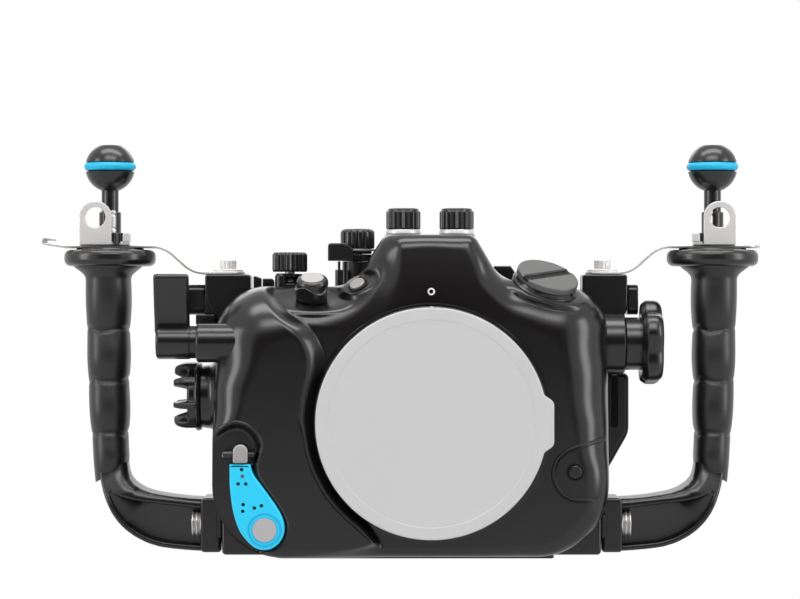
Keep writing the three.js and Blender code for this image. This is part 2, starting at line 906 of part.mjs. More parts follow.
// The front shell's wall: a round port bore, the rounded face, the sides and an open back.
function frontWall() {
  const outline = roundedOutline(bodyCorners(footRound), edgeStep);
  const spokes = columns(outline, new THREE.Vector2(portX, portZ), () => portBore - overrun);
  const innerPlane = wall - facePlane;
  const surface = ({ x, y }) => faceAt(x, y) + edgeDrop(nearestEdge(outline, x, y));
  const lining = (point) => Math.max(surface(point) + wall, innerPlane);
  const share = (value) => ({ near, far }) => near + (far - near) * value;
  const rim = ({ far, skew }) => far - wall * skew;
  const inside = (value) => (spoke) => spoke.near + (rim(spoke) - spoke.near) * value;
  const rings = [
    shellRing(spokes, share(0), () => innerPlane),
    ...faceShares.map((value) => shellRing(spokes, share(value), surface)),
    shellRing(spokes, share(1), ({ x, y }, { mark }) => faceAt(x, y) + mark),
    shellRing(spokes, share(1), () => partingPlane),
    shellRing(spokes, rim, () => partingPlane),
    shellRing(spokes, rim, lining),
    ...insideShares.map((value) => shellRing(spokes, inside(value), lining)),
  ];
  return solid(loft(rings, false));
}

// Square corner blocks behind the round lower corners of the front shell.
function cornerBlocks() {
  return [-1, 1].map((side) => {
    const corners = [
      [side * bracketInner, bodyFloor, bracketRound],
      [side * bracketInner, footRound + bodyFloor, 0],
      [side * (bodyHalf - cornerBlockWidth), footRound + bodyFloor, 0],
      [side * (bodyHalf - cornerBlockWidth), bodyFloor, 0],
    ];
    return slab(roundedOutline(corners), "Y", -cornerBlockDepth, partingPlane);
  });
}

// The two shoulder posts that carry the straps.
function posts() {
  const left = roundedOutline([
    [-leftPostOuter, postTop, postEdge],
    [-leftPostInner, postTop, postEdge],
    [-leftPostInner, leftPostFoot, 0],
    [wall - bodyHalf, leftPostFoot, 0],
    [-bodyHalf, leftPostFoot, 0],
    [-leftPostOuter, postTaper, postTaperRound / 2],
  ]);
  const right = roundedOutline([
    [rightPostInner, postTop, postEdge],
    [rightPostOuter, postTop, postEdge],
    [rightPostOuter, rightPostFoot, postEdge],
    [rightPostInner, rightPostFoot, 0],
  ]);
  return [left, right].map((outline) => slab(outline, "Y", -postDepth, postDepth));
}

const shutterAt = at(0, -shutterY, shutterZ);
const dialAt = at(0, -dialY, dialZ);
const focusAt = at(0, -focusY, focusZ);
const exposureAt = at(-exposureX, -exposureY, 0);
const idlerAt = at(-exposureX + (gearModule * (exposureTeeth + idlerTeeth)) / 2, -exposureY, 0);
const modeAt = at(-modeX, -modeY, 0);
const powerAt = at(-powerX, -powerY, powerZ);
const powerAxis = new THREE.Vector3(0, -Math.sin(powerTilt), Math.cos(powerTilt));
const ovalAt = at(-ovalX, -ovalY, ovalZ);
const plugAt = at(plugX, -plugY, plugZ);
const portAt = at(portX, 0, portZ);
const releaseAt = at(releaseX, 0, releaseZ);
const padAt = at(releasePadX, 0, releaseZ);
const pivotAt = at(-pivotX, 0, pivotZ);
const bulkheadAts = [at(-leftBulkheadX, -bulkheadY, 0), at(rightBulkheadX, -bulkheadY, 0)];
const latchAt = at(0, latchY, latchZ);
const pawlPinAt = at(0, -pawlPinY, pawlPinZ);
const shaftBore = shaftRadius + clearance;
const sideBore = 3 * clearance + shaftRadius;

// Bosses that the controls turn in, raised on the front shell.
function controlBosses() {
  const inside = bodyHalf - wall;
  return [
    rod(shutterBoss, inside, shutterBossEnd, knobSides, shutterAt, toLeft),
    rod(dialBoss, inside, dialBossEnd, bossSides, dialAt, toLeft),
    rod(focusBoss, inside, focusBossEnd, bossSides, focusAt, toRight),
    rod(modePost, deckInside, driveFoot - clearance, knobSides, modeAt),
    rod(turretRadius, deckInside, turretTop, pinSides, exposureAt),
    rod(stubRadius, deckInside, turretTop, pinSides, at(-stubX, -stubY, 0)),
    rod(postStubRadius, deckInside, turretTop, pinSides, at(-postStubX, -exposureY, 0)),
    rod(drivePinRadius, deckInside, drivePinTop, pinSides, at(-drivePinX, -driveTabBack, 0)),
    rod(idlerBoss, gearTop + clearance, deckInside, pinSides, idlerAt),
    box([-tabLeft, -exposureY - tabHalf, deckInside], [-tabRight, tabHalf - exposureY, tabTop]),
    rod(powerRecess + powerBossWall, -powerFloor, 0, knobSides, powerAt, powerAxis),
    rod(ovalRim, -ovalBossDepth, ovalBossLift, knobSides, ovalAt, ovalAxis),
    rod(plugBossRadius, -plugBossDepth, plugLift - clearance, bossSides, plugAt, plugAxis),
    rod(releasePad, facePlane - wall, releasePadFront, bossSides, padAt, toFront),
    ...bulkheadAts.map((place) => rod(bulkheadRing, bulkheadNeckEnd, domeTop, knobSides, place)),
  ];
}

const bulkheadNeckEnd = domeTop - bulkheadNeckDepth;

// Holes for shafts, stems and bolts through the front shell.
function controlHoles() {
  const through = bodyHalf - 2 * wall;
  const modeRoom = modeRadius + 2 * clearance;
  const plugHoleFloor = plugLift - plugThreadDepth - clearance;
  const leverHoleFloor = pocketFloor - leverShaftDepth;
  const neckHole = [bulkheadNeck + clearance, bulkheadNeckEnd - overrun, domeTop + overrun, knobSides];
  const shafts = [
    rod(sideBore, through, shutterBossEnd + overrun, pinSides, shutterAt, toLeft),
    rod(sideBore, through, dialBossEnd + overrun, pinSides, dialAt, toLeft),
    rod(sideBore, through, focusBossEnd + overrun, pinSides, focusAt, toRight),
    rod(shaftBore, gearTop, modeFoot, pinSides, modeAt),
    rod(modeRoom, driveFoot - clearance, domeTop + overrun, knobSides, modeAt),
    rod(shaftBore, gearTop, turretTop + overrun, pinSides, exposureAt),
    rod(idlerPin + clearance, gearTop, deckInside - clearance, pinSides, idlerAt),
    rod(powerRecess, 0, powerHeight + 2 * plugRadius, knobSides, powerAt, powerAxis),
    rod(shaftBore, -powerFloor - overrun, overrun, pinSides, powerAt, powerAxis),
    rod(ovalRecess, -ovalFloor, ovalRim, knobSides, ovalAt, ovalAxis),
    rod(ovalStem + clearance, -ovalBossDepth - overrun, 0, pinSides, ovalAt, ovalAxis),
    rod(plugThread + clearance, plugHoleFloor, plugLift, bossSides, plugAt, plugAxis),
    rod(releaseRadius + clearance, releaseInner, releasePadFront + overrun, pinSides, releaseAt, toFront),
    rod(leverShaft + clearance, leverHoleFloor, facePlane + overrun, pinSides, pivotAt, toFront),
    ...bulkheadAts.map((place) => rod(...neckHole, place)),
  ];
  const bolts = [-leftBoltX, rightBoltX].map((x) => {
    return rod(boltShank + clearance, postTop - boltDepth, postTop + overrun, pinSides, at(x, 0, 0));
  });
  const latches = [toLeft, toRight].map((axis, i) => {
    const face = [leftPostOuter, rightPostOuter][i];
    return rod(latchShaft + clearance, face - latchShaftDepth, face + overrun, pinSides, latchAt, axis);
  });
  const arms = [toLeft, toRight].map((axis) => {
    const from = armBoltShankEnd - clearance;
    return rod(armBoltShank + clearance, from - overrun, bracketOuter, pinSides, armBoltAt, axis);
  });
  return [...shafts, ...bolts, ...latches, ...arms];
}

const armBoltAt = at(0, -armBoltY, armBoltZ);

// The pocket that the port-lock lever swings in, open at the left edge and below.
function leverPocket() {
  const outer = bodyHalf + overrun;
  const corners = [
    [-outer, pocketHeadZ, 0],
    [-pocketHeadX, pocketHeadZ, pocketRound],
    [-pocketWaistX, pocketWaistZ, pocketRound / 2],
    [pocketRightReach - pivotX, pivotZ + leverLobe, pocketRound],
    [pocketRightReach - pivotX, -overrun, 0],
    [-outer, -overrun, 0],
  ];
  return slab(roundedOutline(corners), "Y", -2 * facePlane, -pocketFloor);
}

// Deeper part of the pocket, where the pawl rocks.
function pawlPocket() {
  const half = pawlHalf + clearance;
  const low = [-pawlX - half, -pocketFloor - overrun, pivotZ + leverTop - overrun];
  return box(low, [half - pawlX, -pawlPocketFloor, pawlTop + overrun]);
}

// Two ears that hold the pawl's pin.
function pawlEars() {
  return [-1, 1].map((side) => {
    const near = -pawlX + side * (pawlHalf + 2 * clearance);
    const far = near + side * pawlEarThick;
    const low = [Math.min(near, far), -pawlFront + clearance, pawlPinZ - pawlEarHalf];
    const high = [Math.max(near, far), -pocketFloor + clearance, pawlPinZ + pawlEarHalf];
    const bore = rod(pawlPinRadius + clearance, 0, bodyHalf, pinSides, pawlPinAt, toLeft);
    return cut(box(low, high), bore);
  });
}

function frontShell() {
  const raised = join(frontWall(), ...cornerBlocks(), ...posts(), ...controlBosses());
  const ringSeat = rod(ringRecess, facePlane, 2 * facePlane, wideSides, portAt, toFront);
  const portHole = rod(portBore, 0, facePlane + overrun, wideSides, portAt, toFront);
  const plateSeat = box(
    [-plateLeft - clearance, -plateFront - clearance, -overrun],
    [plateRight + clearance, plateBack + clearance, plateThick]
  );
  const pockets = [leverPocket(), pawlPocket()];
  const hollowed = cut(raised, ringSeat, portHole, plateSeat, ...pockets, ...controlHoles());
  piece("front_shell", join(hollowed, ...pawlEars()), looks.anodised);
}

// The bayonet ring in the port bore, its seal, and the cap that closes it.
function port() {
  const neck = portBore - clearance;
  const floor = neck - sealGroove;
  const ring = [
    [ringInner, ringNeckEnd],
    [neck, ringNeckEnd],
    [neck, sealMiddle - sealHalf],
    [floor, sealMiddle - sealHalf],
    [floor, sealMiddle + sealHalf],
    [neck, sealMiddle + sealHalf],
    [neck, facePlane + clearance],
    [ringOuter, facePlane + clearance],
    [ringOuter, ringFront - ringEdge],
    [ringOuter - ringEdge, ringFront],
    [ringInner, ringFront],
    [ringInner, ringNeckEnd],
  ];
  piece("port_ring", turned(ring, wideSides), looks.anodised, portAt, toFront);
  const sealCentre = (floor + portBore) / 2;
  const seal = ringOf(sealCentre, sealSection, sealMiddle, wideSides);
  piece("port_seal", seal, looks.rubber, portAt, toFront);
  const skirt = ringInner - clearance;
  const cap = [
    [0, capFront - capWeb],
    [skirt - capSkirtWall, capFront - capWeb],
    [skirt - capSkirtWall, capSkirtEnd],
    [skirt, capSkirtEnd],
    [skirt, ringFront + clearance],
    [capRadius, ringFront + clearance],
    [capRadius, capFront - capEdge],
    [capRadius - capEdge, capFront],
    [0, capFront],
  ];
  const tab = roundedOutline([
    [portX + ringInner, portZ - capTabHalf, 0],
    [portX + capTabReach, portZ - capTabHalf, capTabRound],
    [portX + capTabReach, portZ + capTabHalf, capTabRound],
    [portX + ringInner, portZ + capTabHalf, 0],
  ]);
  const disc = turned(cap, wideSides, portAt, toFront);
  const tabBody = slab(tab, "Y", -capFront, -ringFront - clearance);
  piece("port_cap", join(disc, tabBody), looks.cap);
}

// A round ring of round section, about the axis at a height.
function ringOf(centre, section, height, sides) {
  const steps = 6;
  const profile = Array.from({ length: steps + 1 }, (_, k) => {
    const angle = (2 * Math.PI * (k % steps)) / steps;
    return [centre + section * Math.cos(angle), height + section * Math.sin(angle)];
  });
  return turned(profile, sides);
}

function basePlate() {
  const holes = [plateHoleInset - plateLeft, plateRight - plateHoleInset].flatMap((x) => {
    return [plateHoleInset - plateFront, plateBack - plateHoleInset].map((y) => [x, y, plateHole]);
  });
  const outline = roundedOutline([
    [-plateLeft, -plateFront, bracketRound],
    [plateRight, -plateFront, bracketRound],
    [plateRight, plateBack, bracketRound],
    [-plateLeft, plateBack, bracketRound],
  ]);
  piece("base_plate", slab(outline, "Z", 0, plateThick, holes), looks.anodised);
}

// A side bracket, and the arm that reaches from it out to the foot of the grip.
function armOf(side, name) {
  const axis = side < 0 ? toLeft : toRight;
  const bracket = roundedOutline([
    [side * bracketInner, bracketFloor, 0],
    [side * bracketOuter, bracketFloor, bracketRound],
    [side * bracketOuter, bracketTop, bracketRound],
    [side * bodyHalf, bracketTop, bracketRound],
    [side * bodyHalf, bracketStep, 0],
    [side * bracketInner, bracketStep, 0],
  ]);
  const room = armBoltRadius + clearance;
  const sunk = rod(room, armBoltInner - clearance, bracketOuter + overrun, knobSides, armBoltAt, axis);
  const bore = rod(armBoltShank + clearance, bodyHalf - 2 * wall, bracketOuter, pinSides, armBoltAt, axis);
  const bracketBody = cut(slab(bracket, "Y", -bracketFront, bracketBack), sunk, bore);
  piece(`${name}_side_bracket`, bracketBody, looks.anodised);
  const arm = roundedOutline([
    [side * bracketOuter, bracketFloor, 0],
    [side * armElbowX, bracketFloor, armElbowRound],
    [side * armKneeX, armKneeZ, armKneeRound],
    [side * riserOuter, riserTop, 0],
    [side * riserInner, riserTop, 0],
    [side * riserInner, armTop, armInnerRound],
    [side * bracketOuter, bracketTop, 0],
  ]);
  const channel = roundedOutline([
    [side * (bracketOuter - overrun), channelFloor, 0],
    [side * armElbowX, channelFloor, armElbowRound - channelFloor],
    [side * channelEnd, channelTop - channelRound, channelRound / 2],
    [side * channelEnd, channelTop, channelRound / 2],
    [side * (bracketOuter - overrun), channelTop, 0],
  ]);
  const open = slab(channel, "Y", -armFront - overrun, channelDepth - armFront);
  const boltRoom = rod(room, bracketOuter - overrun, armBoltOuter + clearance, knobSides, armBoltAt, axis);
  piece(`${name}_handle_arm`, cut(slab(arm, "Y", -armFront, armBack), open, boltRoom), looks.handle);
  const third = (armBoltOuter - armBoltInner) / 3;
  const groove = armBoltGroove;
  const stack = [
    [0, armBoltShankEnd],
    [armBoltShank, armBoltShankEnd],
    [armBoltShank, armBoltInner],
    [armBoltRadius, armBoltInner],
    [armBoltRadius, armBoltInner + third - groove],
    [armBoltRadius - groove, armBoltInner + third],
    [armBoltRadius, armBoltInner + third + groove],
    [armBoltRadius, armBoltInner + 2 * third - groove],
    [armBoltRadius - groove, armBoltInner + 2 * third],
    [armBoltRadius, armBoltInner + 2 * third + groove],
    [armBoltRadius, armBoltOuter],
    [0, armBoltOuter],
  ];
  piece(`${name}_arm_bolt`, turned(stack, knobSides), looks.steel, armBoltAt, axis);
}

// A rubber grip: an oval section that narrows to its foot, with swellings between its ridges.
function gripOf(side, name) {
  const ridges = gripRidgeShares.map((share) => THREE.MathUtils.lerp(riserTop, gripTop, share));
  const levels = [riserTop, ...ridges, gripTop - gripNeck];
  const heights = [];
  levels.slice(1).forEach((top, i) => {
    const foot = levels[i];
    const room = top - foot - 2 * gripRidgeHalf;
    heights.push([foot, i === 0 ? 0 : gripRidge]);
    [0, 0.5, 1].forEach((share) => {
      heights.push([foot + gripRidgeHalf + room * share, gripSwell * Math.sin(Math.PI * share)]);
    });
  });
  [1 / 2, 1].forEach((share) => heights.push([gripTop - gripNeck * (1 - share), gripFlare * share ** 3]));
  const rings = heights.map(([height, swell]) => {
    const share = (height - riserTop) / (gripTop - riserTop);
    const half = THREE.MathUtils.lerp(gripFootHalf, gripHalf, share) + swell;
    const depth = gripDepth - gripHalf + half;
    return Array.from({ length: gripSides }, (_, k) => {
      const angle = (2 * Math.PI * k) / gripSides;
      return at(side * gripCentre + half * Math.cos(angle), depth * Math.sin(angle), height);
    });
  });
  piece(`${name}_grip`, solid(loft(rings, true)), looks.rubber);
}

function handleCapOf(side, name) {
  const top = handleCapTop + handleCapDiscHeight;
  const profile = [
    [0, gripTop],
    [handleCapRadius - handleCapEdge, gripTop],
    [handleCapRadius, gripTop + handleCapEdge],
    [handleCapRadius, handleCapTop - handleCapEdge],
    [handleCapRadius - handleCapEdge, handleCapTop],
    [handleCapDisc, handleCapTop],
    [handleCapDisc, top],
    [strapStud, top],
    [strapStud, top - ballBoltDepth - clearance],
    [0, top - ballBoltDepth - clearance],
  ];
  piece(`${name}_handle_cap`, turned(profile, bossSides), looks.handle, at(side * gripCentre, 0, 0));
}

// A bent strip along a path of [across, up, radius] corners: the path is its underside.
function ribbon(corners, thickness) {
  const path = corners.flatMap((corner, i) => {
    if (i === 0 || i === corners.length - 1) return [new THREE.Vector2(corner[0], corner[1])];
    return cornerArc(corners[i - 1], corner, corners[i + 1]);
  });
  const upper = path.map((point, i) => {
    const before = path[Math.max(i - 1, 0)];
    const after = path[Math.min(i + 1, path.length - 1)];
    const ahead = after.clone().sub(before).normalize();
    const normal = ahead.rotateAround(new THREE.Vector2(), Math.PI / 2);
    return point.clone().addScaledVector(normal, thickness * Math.sign(normal.y));
  });
  return [...path, ...upper.reverse()];
}

// The bent steel strap from the handle cap down to its shoulder post, and its bolt.
function strapOf(side, name, boltX, outerEnd) {
  const landing = side * (boltX - strapEndInset);
  const corners = [
    ...outerEnd,
    [side * strapBendOuter, strapRise, strapRound],
    [side * strapBendInner, postTop, strapRound],
    [landing, postTop, 0],
  ];
  const strip = slab(ribbon(corners, strapThick), "Y", -strapHalf, strapHalf);
  const mountAt = at(side * gripCentre, 0, 0);
  const boltAt = at(side * boltX, 0, 0);
  const stud = rod(strapStud, strapRise - overrun, strapRise + 2 * overrun, pinSides, mountAt);
  const hole = rod(boltShank + clearance, postTop - overrun, postTop + 2 * overrun, pinSides, boltAt);
  piece(`${name}_strap`, cut(strip, stud, hole), looks.steel);
  const seat = postTop + strapThick;
  const headTop = seat + washerThick + boltHeadHeight;
  const bolt = [
    [0, postTop - boltDepth + clearance],
    [boltShank, postTop - boltDepth + clearance],
    [boltShank, seat],
    [washerRadius, seat],
    [washerRadius, seat + washerThick],
    [boltHead, seat + washerThick],
    [boltHead, headTop],
    [boltSocket, headTop],
    [boltSocket, headTop - boltSocketDepth],
    [0, headTop - boltSocketDepth],
  ];
  piece(`${name}_strap_bolt`, turned(bolt, knobSides), looks.steel, boltAt);
}

// The upright lug with its eye, bent from a foot that the ball mount holds down.
function lugOf(side, name, lugX) {
  const foot = strapRise + strapThick;
  const middle = side * lugX;
  const plate = roundedOutline([
    [middle - lugHalf, foot, 0],
    [middle + lugHalf, foot, 0],
    [middle + lugHalf, lugTop, lugHalf - clearance],
    [middle - lugHalf, lugTop, lugHalf - clearance],
  ]);
  const eye = [[middle, lugTop - lugHalf, lugEye]];
  const upright = slab(plate, "Y", -lugFront, lugThick - lugFront, eye);
  const low = Math.min(middle - lugHalf, side * gripCentre - lugFootReach);
  const high = Math.max(middle + lugHalf, side * gripCentre + lugFootReach);
  const base = box([low, -lugFront, foot], [high, lugFootBack, foot + lugThick]);
  const stud = rod(strapStud, foot - overrun, foot + 2 * overrun, pinSides, at(side * gripCentre, 0, 0));
  piece(`${name}_lug`, cut(join(upright, base), stud), looks.steel);
}

// A ball on its stem, with a groove round its middle for the ring.
function ballMountOf(side, name) {
  const foot = strapRise + strapThick + lugThick;
  const boltEnd = handleCapTop + handleCapDiscHeight - ballBoltDepth;
  const arc = (from, to, steps) => {
    return Array.from({ length: steps + 1 }, (_, k) => {
      const angle = THREE.MathUtils.lerp(from, to, k / steps);
      return [ballRadius * Math.cos(angle), ballCentreZ + ballRadius * Math.sin(angle)];
    });
  };
  const grooveAngle = Math.asin(ballGrooveHalf / ballRadius);
  const profile = [
    [0, boltEnd],
    [ballBolt, boltEnd],
    [ballBolt, foot],
    [ballFlange, foot],
    [ballFlange, foot + ballFlangeThick],
    [ballHub, foot + ballFlangeThick],
    [ballHub, ballStemFoot],
    [ballStem, ballStemFoot],
    ...arc(-Math.acos(ballStem / ballRadius), -grooveAngle, 4),
    [ballGrooveFloor, ballCentreZ - ballGrooveHalf],
    [ballGrooveFloor, ballCentreZ + ballGrooveHalf],
    ...arc(grooveAngle, Math.acos(ballFlat / ballRadius), 3),
    [0, ballCentreZ + Math.sqrt(ballRadius ** 2 - ballFlat ** 2)],
  ];
  const place = at(side * gripCentre, 0, 0);
  piece(`${name}_ball_mount`, turned(profile, knobSides), looks.anodised, place);
  const ring = ringOf(ballRingCentre, ballRingSection, ballCentreZ, knobSides);
  piece(`${name}_ball_ring`, ring, looks.teal, place);
}

function handles() {
  const curl = [
    [-strapCurlReach, strapCurlTop, 0],
    [-strapCurlStart, strapRise, strapRound],
  ];
  const flat = [[strapFlatReach, strapRise, 0]];
  const sides = [
    [-1, "left", leftBoltX, curl, leftLugX],
    [1, "right", rightBoltX, flat, rightLugX],
  ];
  sides.forEach(([side, name, boltX, outerEnd, lugX]) => {
    armOf(side, name);
    gripOf(side, name);
    handleCapOf(side, name);
    strapOf(side, name, boltX, outerEnd);
    lugOf(side, name, lugX);
    ballMountOf(side, name);
  });
}

// A latch that turns on the outer face of a shoulder post.
function latches() {
  const sides = [
    ["left", toLeft, leftPostOuter, leftLatchThick],
    ["right", toRight, rightPostOuter, rightLatchThick],
  ];
  sides.forEach(([name, axis, face, thick]) => {
    const near = face + clearance;
    const reach = [axis.x * near, axis.x * (near + thick)].sort((a, b) => a - b);
    const disc = rod(latchRadius, near, near + thick, knobSides, latchAt, axis);
    const shaftEnd = face - latchShaftDepth + clearance;
    const shaft = rod(latchShaft, shaftEnd, near + thick / 2, pinSides, latchAt, axis);
    const tail = box(
      [reach[0], latchY, latchZ - latchTailHalf],
      [reach[1], latchY + latchTail, latchZ + latchTailHalf]
    );
    piece(`${name}_latch`, join(disc, shaft, tail), looks.anodised);
  });
}

// Bulkhead rings on the dome, each closed by a fluted screw cap.
function bulkheads() {
  bulkheadAts.forEach((place, i) => {
    const name = ["left", "right"][i];
    const ring = [
      [bulkheadBore, bulkheadNeckEnd],
      [bulkheadNeck, bulkheadNeckEnd],
      [bulkheadNeck, domeTop],
      [bulkheadRing, domeTop],
      [bulkheadRing, bulkheadRingTop],
      [bulkheadBore, bulkheadRingTop],
      [bulkheadBore, bulkheadNeckEnd],
    ];
    piece(`${name}_bulkhead`, turned(ring, knobSides), looks.steel, place);
    const foot = bulkheadRingTop + clearance;
    const shape = [bulkheadCapRadius, bulkheadRib, bulkheadRibs, foot, bulkheadCapTop];
    const knob = flutedKnob(...shape, bulkheadCapEdge, 2);
    const plug = rod(bulkheadPlug, foot - bulkheadPlugDepth, foot + overrun, pinSides);
    piece(`${name}_bulkhead_cap`, join(knob, plug), looks.anodised, place);
  });
}

// The slotted plug on the right shoulder.
function accessoryPlug() {
  const top = plugLift + plugHeight;
  const profile = [
    [0, plugLift - plugThreadDepth],
    [plugThread, plugLift - plugThreadDepth],
    [plugThread, plugLift],
    [plugRadius, plugLift],
    [plugRadius, top - plugEdge],
    [plugRadius - plugEdge, top],
    [0, top],
  ];
  const slot = new THREE.BoxGeometry(2 * plugRadius + overrun, 2 * plugSlotHalf, 2 * plugSlotDepth);
  slot.rotateZ(plugSlotAngle).translate(0, 0, top);
  piece("accessory_plug", cut(turned(profile, bossSides), solid(slot)), looks.grey, plugAt, plugAxis);
}

// Knobs and levers on top: power, exposure with its gear pair, mode with the drive lever.
function topControls() {
  const shaftEnd = gearTop - gearThick - clearance;
  const power = flutedKnob(powerRadius, powerLobe, powerLobes, clearance, powerHeight, powerEdge, 10);
  const powerShaft = rod(shaftRadius, -powerFloor - 2 * overrun, overrun, pinSides);
  piece("power_knob", join(power, powerShaft), looks.anodised, powerAt, powerAxis);
  const flutes = [exposureFlute, exposureFlutes];
  const exposure = flutedKnob(exposureRadius, ...flutes, exposureFoot, exposureTop, bulkheadCapEdge, 2);
  const exposureShaft = rod(shaftRadius, shaftEnd, exposureFoot + overrun, pinSides);
  piece("exposure_knob", join(exposure, exposureShaft), looks.anodised, exposureAt);
  const wheel = cut(gear(exposureTeeth, 0), rod(shaftBore, shaftEnd, gearTop + overrun, pinSides));
  piece("exposure_gear", wheel, looks.steel, exposureAt);
  const pin = rod(idlerPin, shaftEnd, deckInside - 2 * clearance, pinSides);
  piece("idler_gear", join(gear(idlerTeeth, Math.PI / idlerTeeth), pin), looks.steel, idlerAt);
  const mode = flutedKnob(modeRadius, ...flutes, modeFoot, modeTop, bulkheadCapEdge, 2);
  const modeShaft = rod(shaftRadius, gearTop, modeFoot + overrun, pinSides);
  piece("mode_knob", join(mode, modeShaft), looks.anodised, modeAt);
  driveLever();
}

// A spur gear under the deck: straight-sided teeth on the pitch circle, thinned for backlash.
function gear(teeth, phase) {
  const pitch = (gearModule * teeth) / 2;
  const tip = pitch + gearModule - gearBacklash;
  const root = pitch - gearModule - gearBacklash;
  const half = Math.PI / (2 * teeth);
  const slack = gearBacklash / pitch;
  const middles = Array.from({ length: teeth }, (_, k) => (2 * Math.PI * k) / teeth + phase);
  const rising = [[root, -toothRootShare], [tip, -toothTipShare]];
  const flanks = [...rising, [tip, toothTipShare], [root, toothRootShare]];
  const outline = middles.flatMap((middle) => {
    return flanks.map(([radius, share]) => {
      const angle = middle + share * (half - slack);
      return new THREE.Vector2(radius * Math.cos(angle), radius * Math.sin(angle));
    });
  });
  return slab(outline, "Z", gearTop - gearThick, gearTop);
}

function driveLever() {
  const hub = rod(driveHub, driveFoot, modeFoot - clearance, knobSides, modeAt);
  const arm = box([-driveArmLeft, -driveArmFront, driveFoot], [-driveTabRight, -modeY, driveArmTop]);
  const tab = roundedOutline([
    [-driveTabLeft, driveFoot, 0],
    [-driveTabRight, driveFoot, 0],
    [-driveTabRight, driveTabTop, drivePinRadius],
    [-driveTabLeft, driveTabTop, postEdge],
  ]);
  const upright = slab(tab, "Y", -driveTabFront, -driveTabBack);
  const bore = rod(shaftBore, driveFoot - overrun, modeFoot, pinSides, modeAt);
  piece("drive_lever", cut(join(hub, arm, upright), bore), looks.anodised);
}

// Controls on the left side: the shutter lever and the finned main dial.
function leftControls() {
  const inner = bodyHalf - 2 * wall;
  const hub = rod(shutterHub, shutterInner, shutterOuter, knobSides, shutterAt, toLeft);
  const collarFoot = shutterBossEnd + clearance;
  const collar = rod(shutterCollar, collarFoot, shutterInner + overrun, knobSides, shutterAt, toLeft);
  const shaft = rod(shaftRadius, inner, shutterInner + overrun, pinSides, shutterAt, toLeft);
  const front = -shutterY - paddleThick;
  const paddle = roundedOutline([
    [front, shutterZ, 0],
    [front + 2 * paddleThick, shutterZ, 0],
    [front - paddleLean + paddleThick, paddleTop, postEdge],
    [front - paddleLean, paddleTop, postEdge],
  ]);
  const blade = slab(paddle, "X", -paddleLeft, -paddleRight);
  piece("shutter_lever", join(hub, collar, shaft, blade), looks.anodised);
  const disc = rod(dialRadius, dialInner, dialWeb, bossSides);
  const fin = roundedOutline([
    [dialHub, dialWeb - overrun, 0],
    [dialRadius, dialWeb - overrun, 0],
    [dialRadius, dialTip, overrun],
    [dialHub, dialTip - overrun, 0],
  ]);
  const fins = Array.from({ length: dialFins }, (_, k) => {
    const shape = new THREE.Shape(fin);
    const rib = new THREE.ExtrudeGeometry(shape, { depth: 2 * dialFinHalf, bevelEnabled: false });
    rib.translate(0, 0, -dialFinHalf).rotateX(Math.PI / 2);
    return solid(rib.rotateZ((2 * Math.PI * (k + 0.5)) / dialFins));
  });
  const dialShaft = rod(shaftRadius, inner, dialInner + overrun, pinSides);
  const hubCap = rod(dialHub + clearance, dialWeb - overrun, dialTip - overrun, pinSides);
  piece("main_dial", join(disc, ...fins, hubCap, dialShaft), looks.anodised, dialAt, toLeft);
}

// The scalloped focus knob on the right side.
function rightControls() {
  const knob = flutedKnob(focusRadius, focusScallop, focusLobes, focusInner, focusOuter, focusEdge, 9);
  const collar = rod(focusCollar, focusBossEnd + clearance, focusInner + overrun, knobSides);
  const shaft = rod(shaftRadius, bodyHalf - 2 * wall, focusInner, pinSides);
  piece("focus_knob", join(knob, collar, shaft), looks.anodised, focusAt, toRight);
}

// The port-lock lever with its shaft, and the pawl that holds it, on a cross pin.
function portLock() {
  const corners = [
    [-pivotX - leverLeft, pivotZ + leverTop, clearance],
    [-pivotX - leverRight, pivotZ + leverTop, clearance],
    [-pivotX - leverRight + 2 * clearance, pivotZ + leverTop - leverRight, leverRight],
    [-pivotX + leverLobe + clearance, pivotZ + leverLobe / 2, leverLobe],
    [-pivotX + leverLobe / 2, pivotZ - leverLobe - 2 * clearance, leverLobe],
    [-pivotX - leverLobe, pivotZ - leverLobe, leverLobe],
    [-pivotX - leverLeft, pivotZ + leverTop / 2, leverTop],
  ];
  const blade = slab(roundedOutline(corners), "Y", -leverFront, -leverBack);
  const shaftEnd = pocketFloor - leverShaftDepth + clearance;
  const shaft = rod(leverShaft, shaftEnd, leverBack + clearance, pinSides, pivotAt, toFront);
  piece("port_lock_lever", join(blade, shaft), looks.teal);
  const pawl = roundedOutline([
    [-pawlX - pawlHalf, pivotZ + leverTop + 2 * clearance, 0],
    [-pawlX + pawlHalf, pivotZ + leverTop + 2 * clearance, 0],
    [-pawlX + pawlHalf, pawlTop, pawlHalf - clearance],
    [-pawlX - pawlHalf, pawlTop, pawlHalf - clearance],
  ]);
  const bore = rod(pawlPinRadius + clearance, 0, bodyHalf, pinSides, pawlPinAt, toLeft);
  piece("port_lock_pawl", cut(slab(pawl, "Y", -pawlFront, -pawlBack), bore), looks.grey);
  const pin = rod(pawlPinRadius, pawlX - pawlPinHalf, pawlX + pawlPinHalf, pinSides, pawlPinAt, toLeft);
  piece("pawl_pin", pin, looks.steel);
}

// Push buttons on the front: the lens release and the oval button.
function frontButtons() {
  const release = rod(releaseRadius, releaseInner, releasePadFront + releaseProud, pinSides);
  piece("lens_release_button", release, looks.grey, releaseAt, toFront);
  const head = rod(ovalRadius, ovalGap - ovalFloor, ovalGap - ovalFloor + ovalHeight, knobSides);
  const stem = rod(ovalStem, -ovalBossDepth, ovalGap - ovalFloor + clearance, pinSides);
  piece("front_button", join(head, stem), looks.grey, ovalAt, ovalAxis);
}

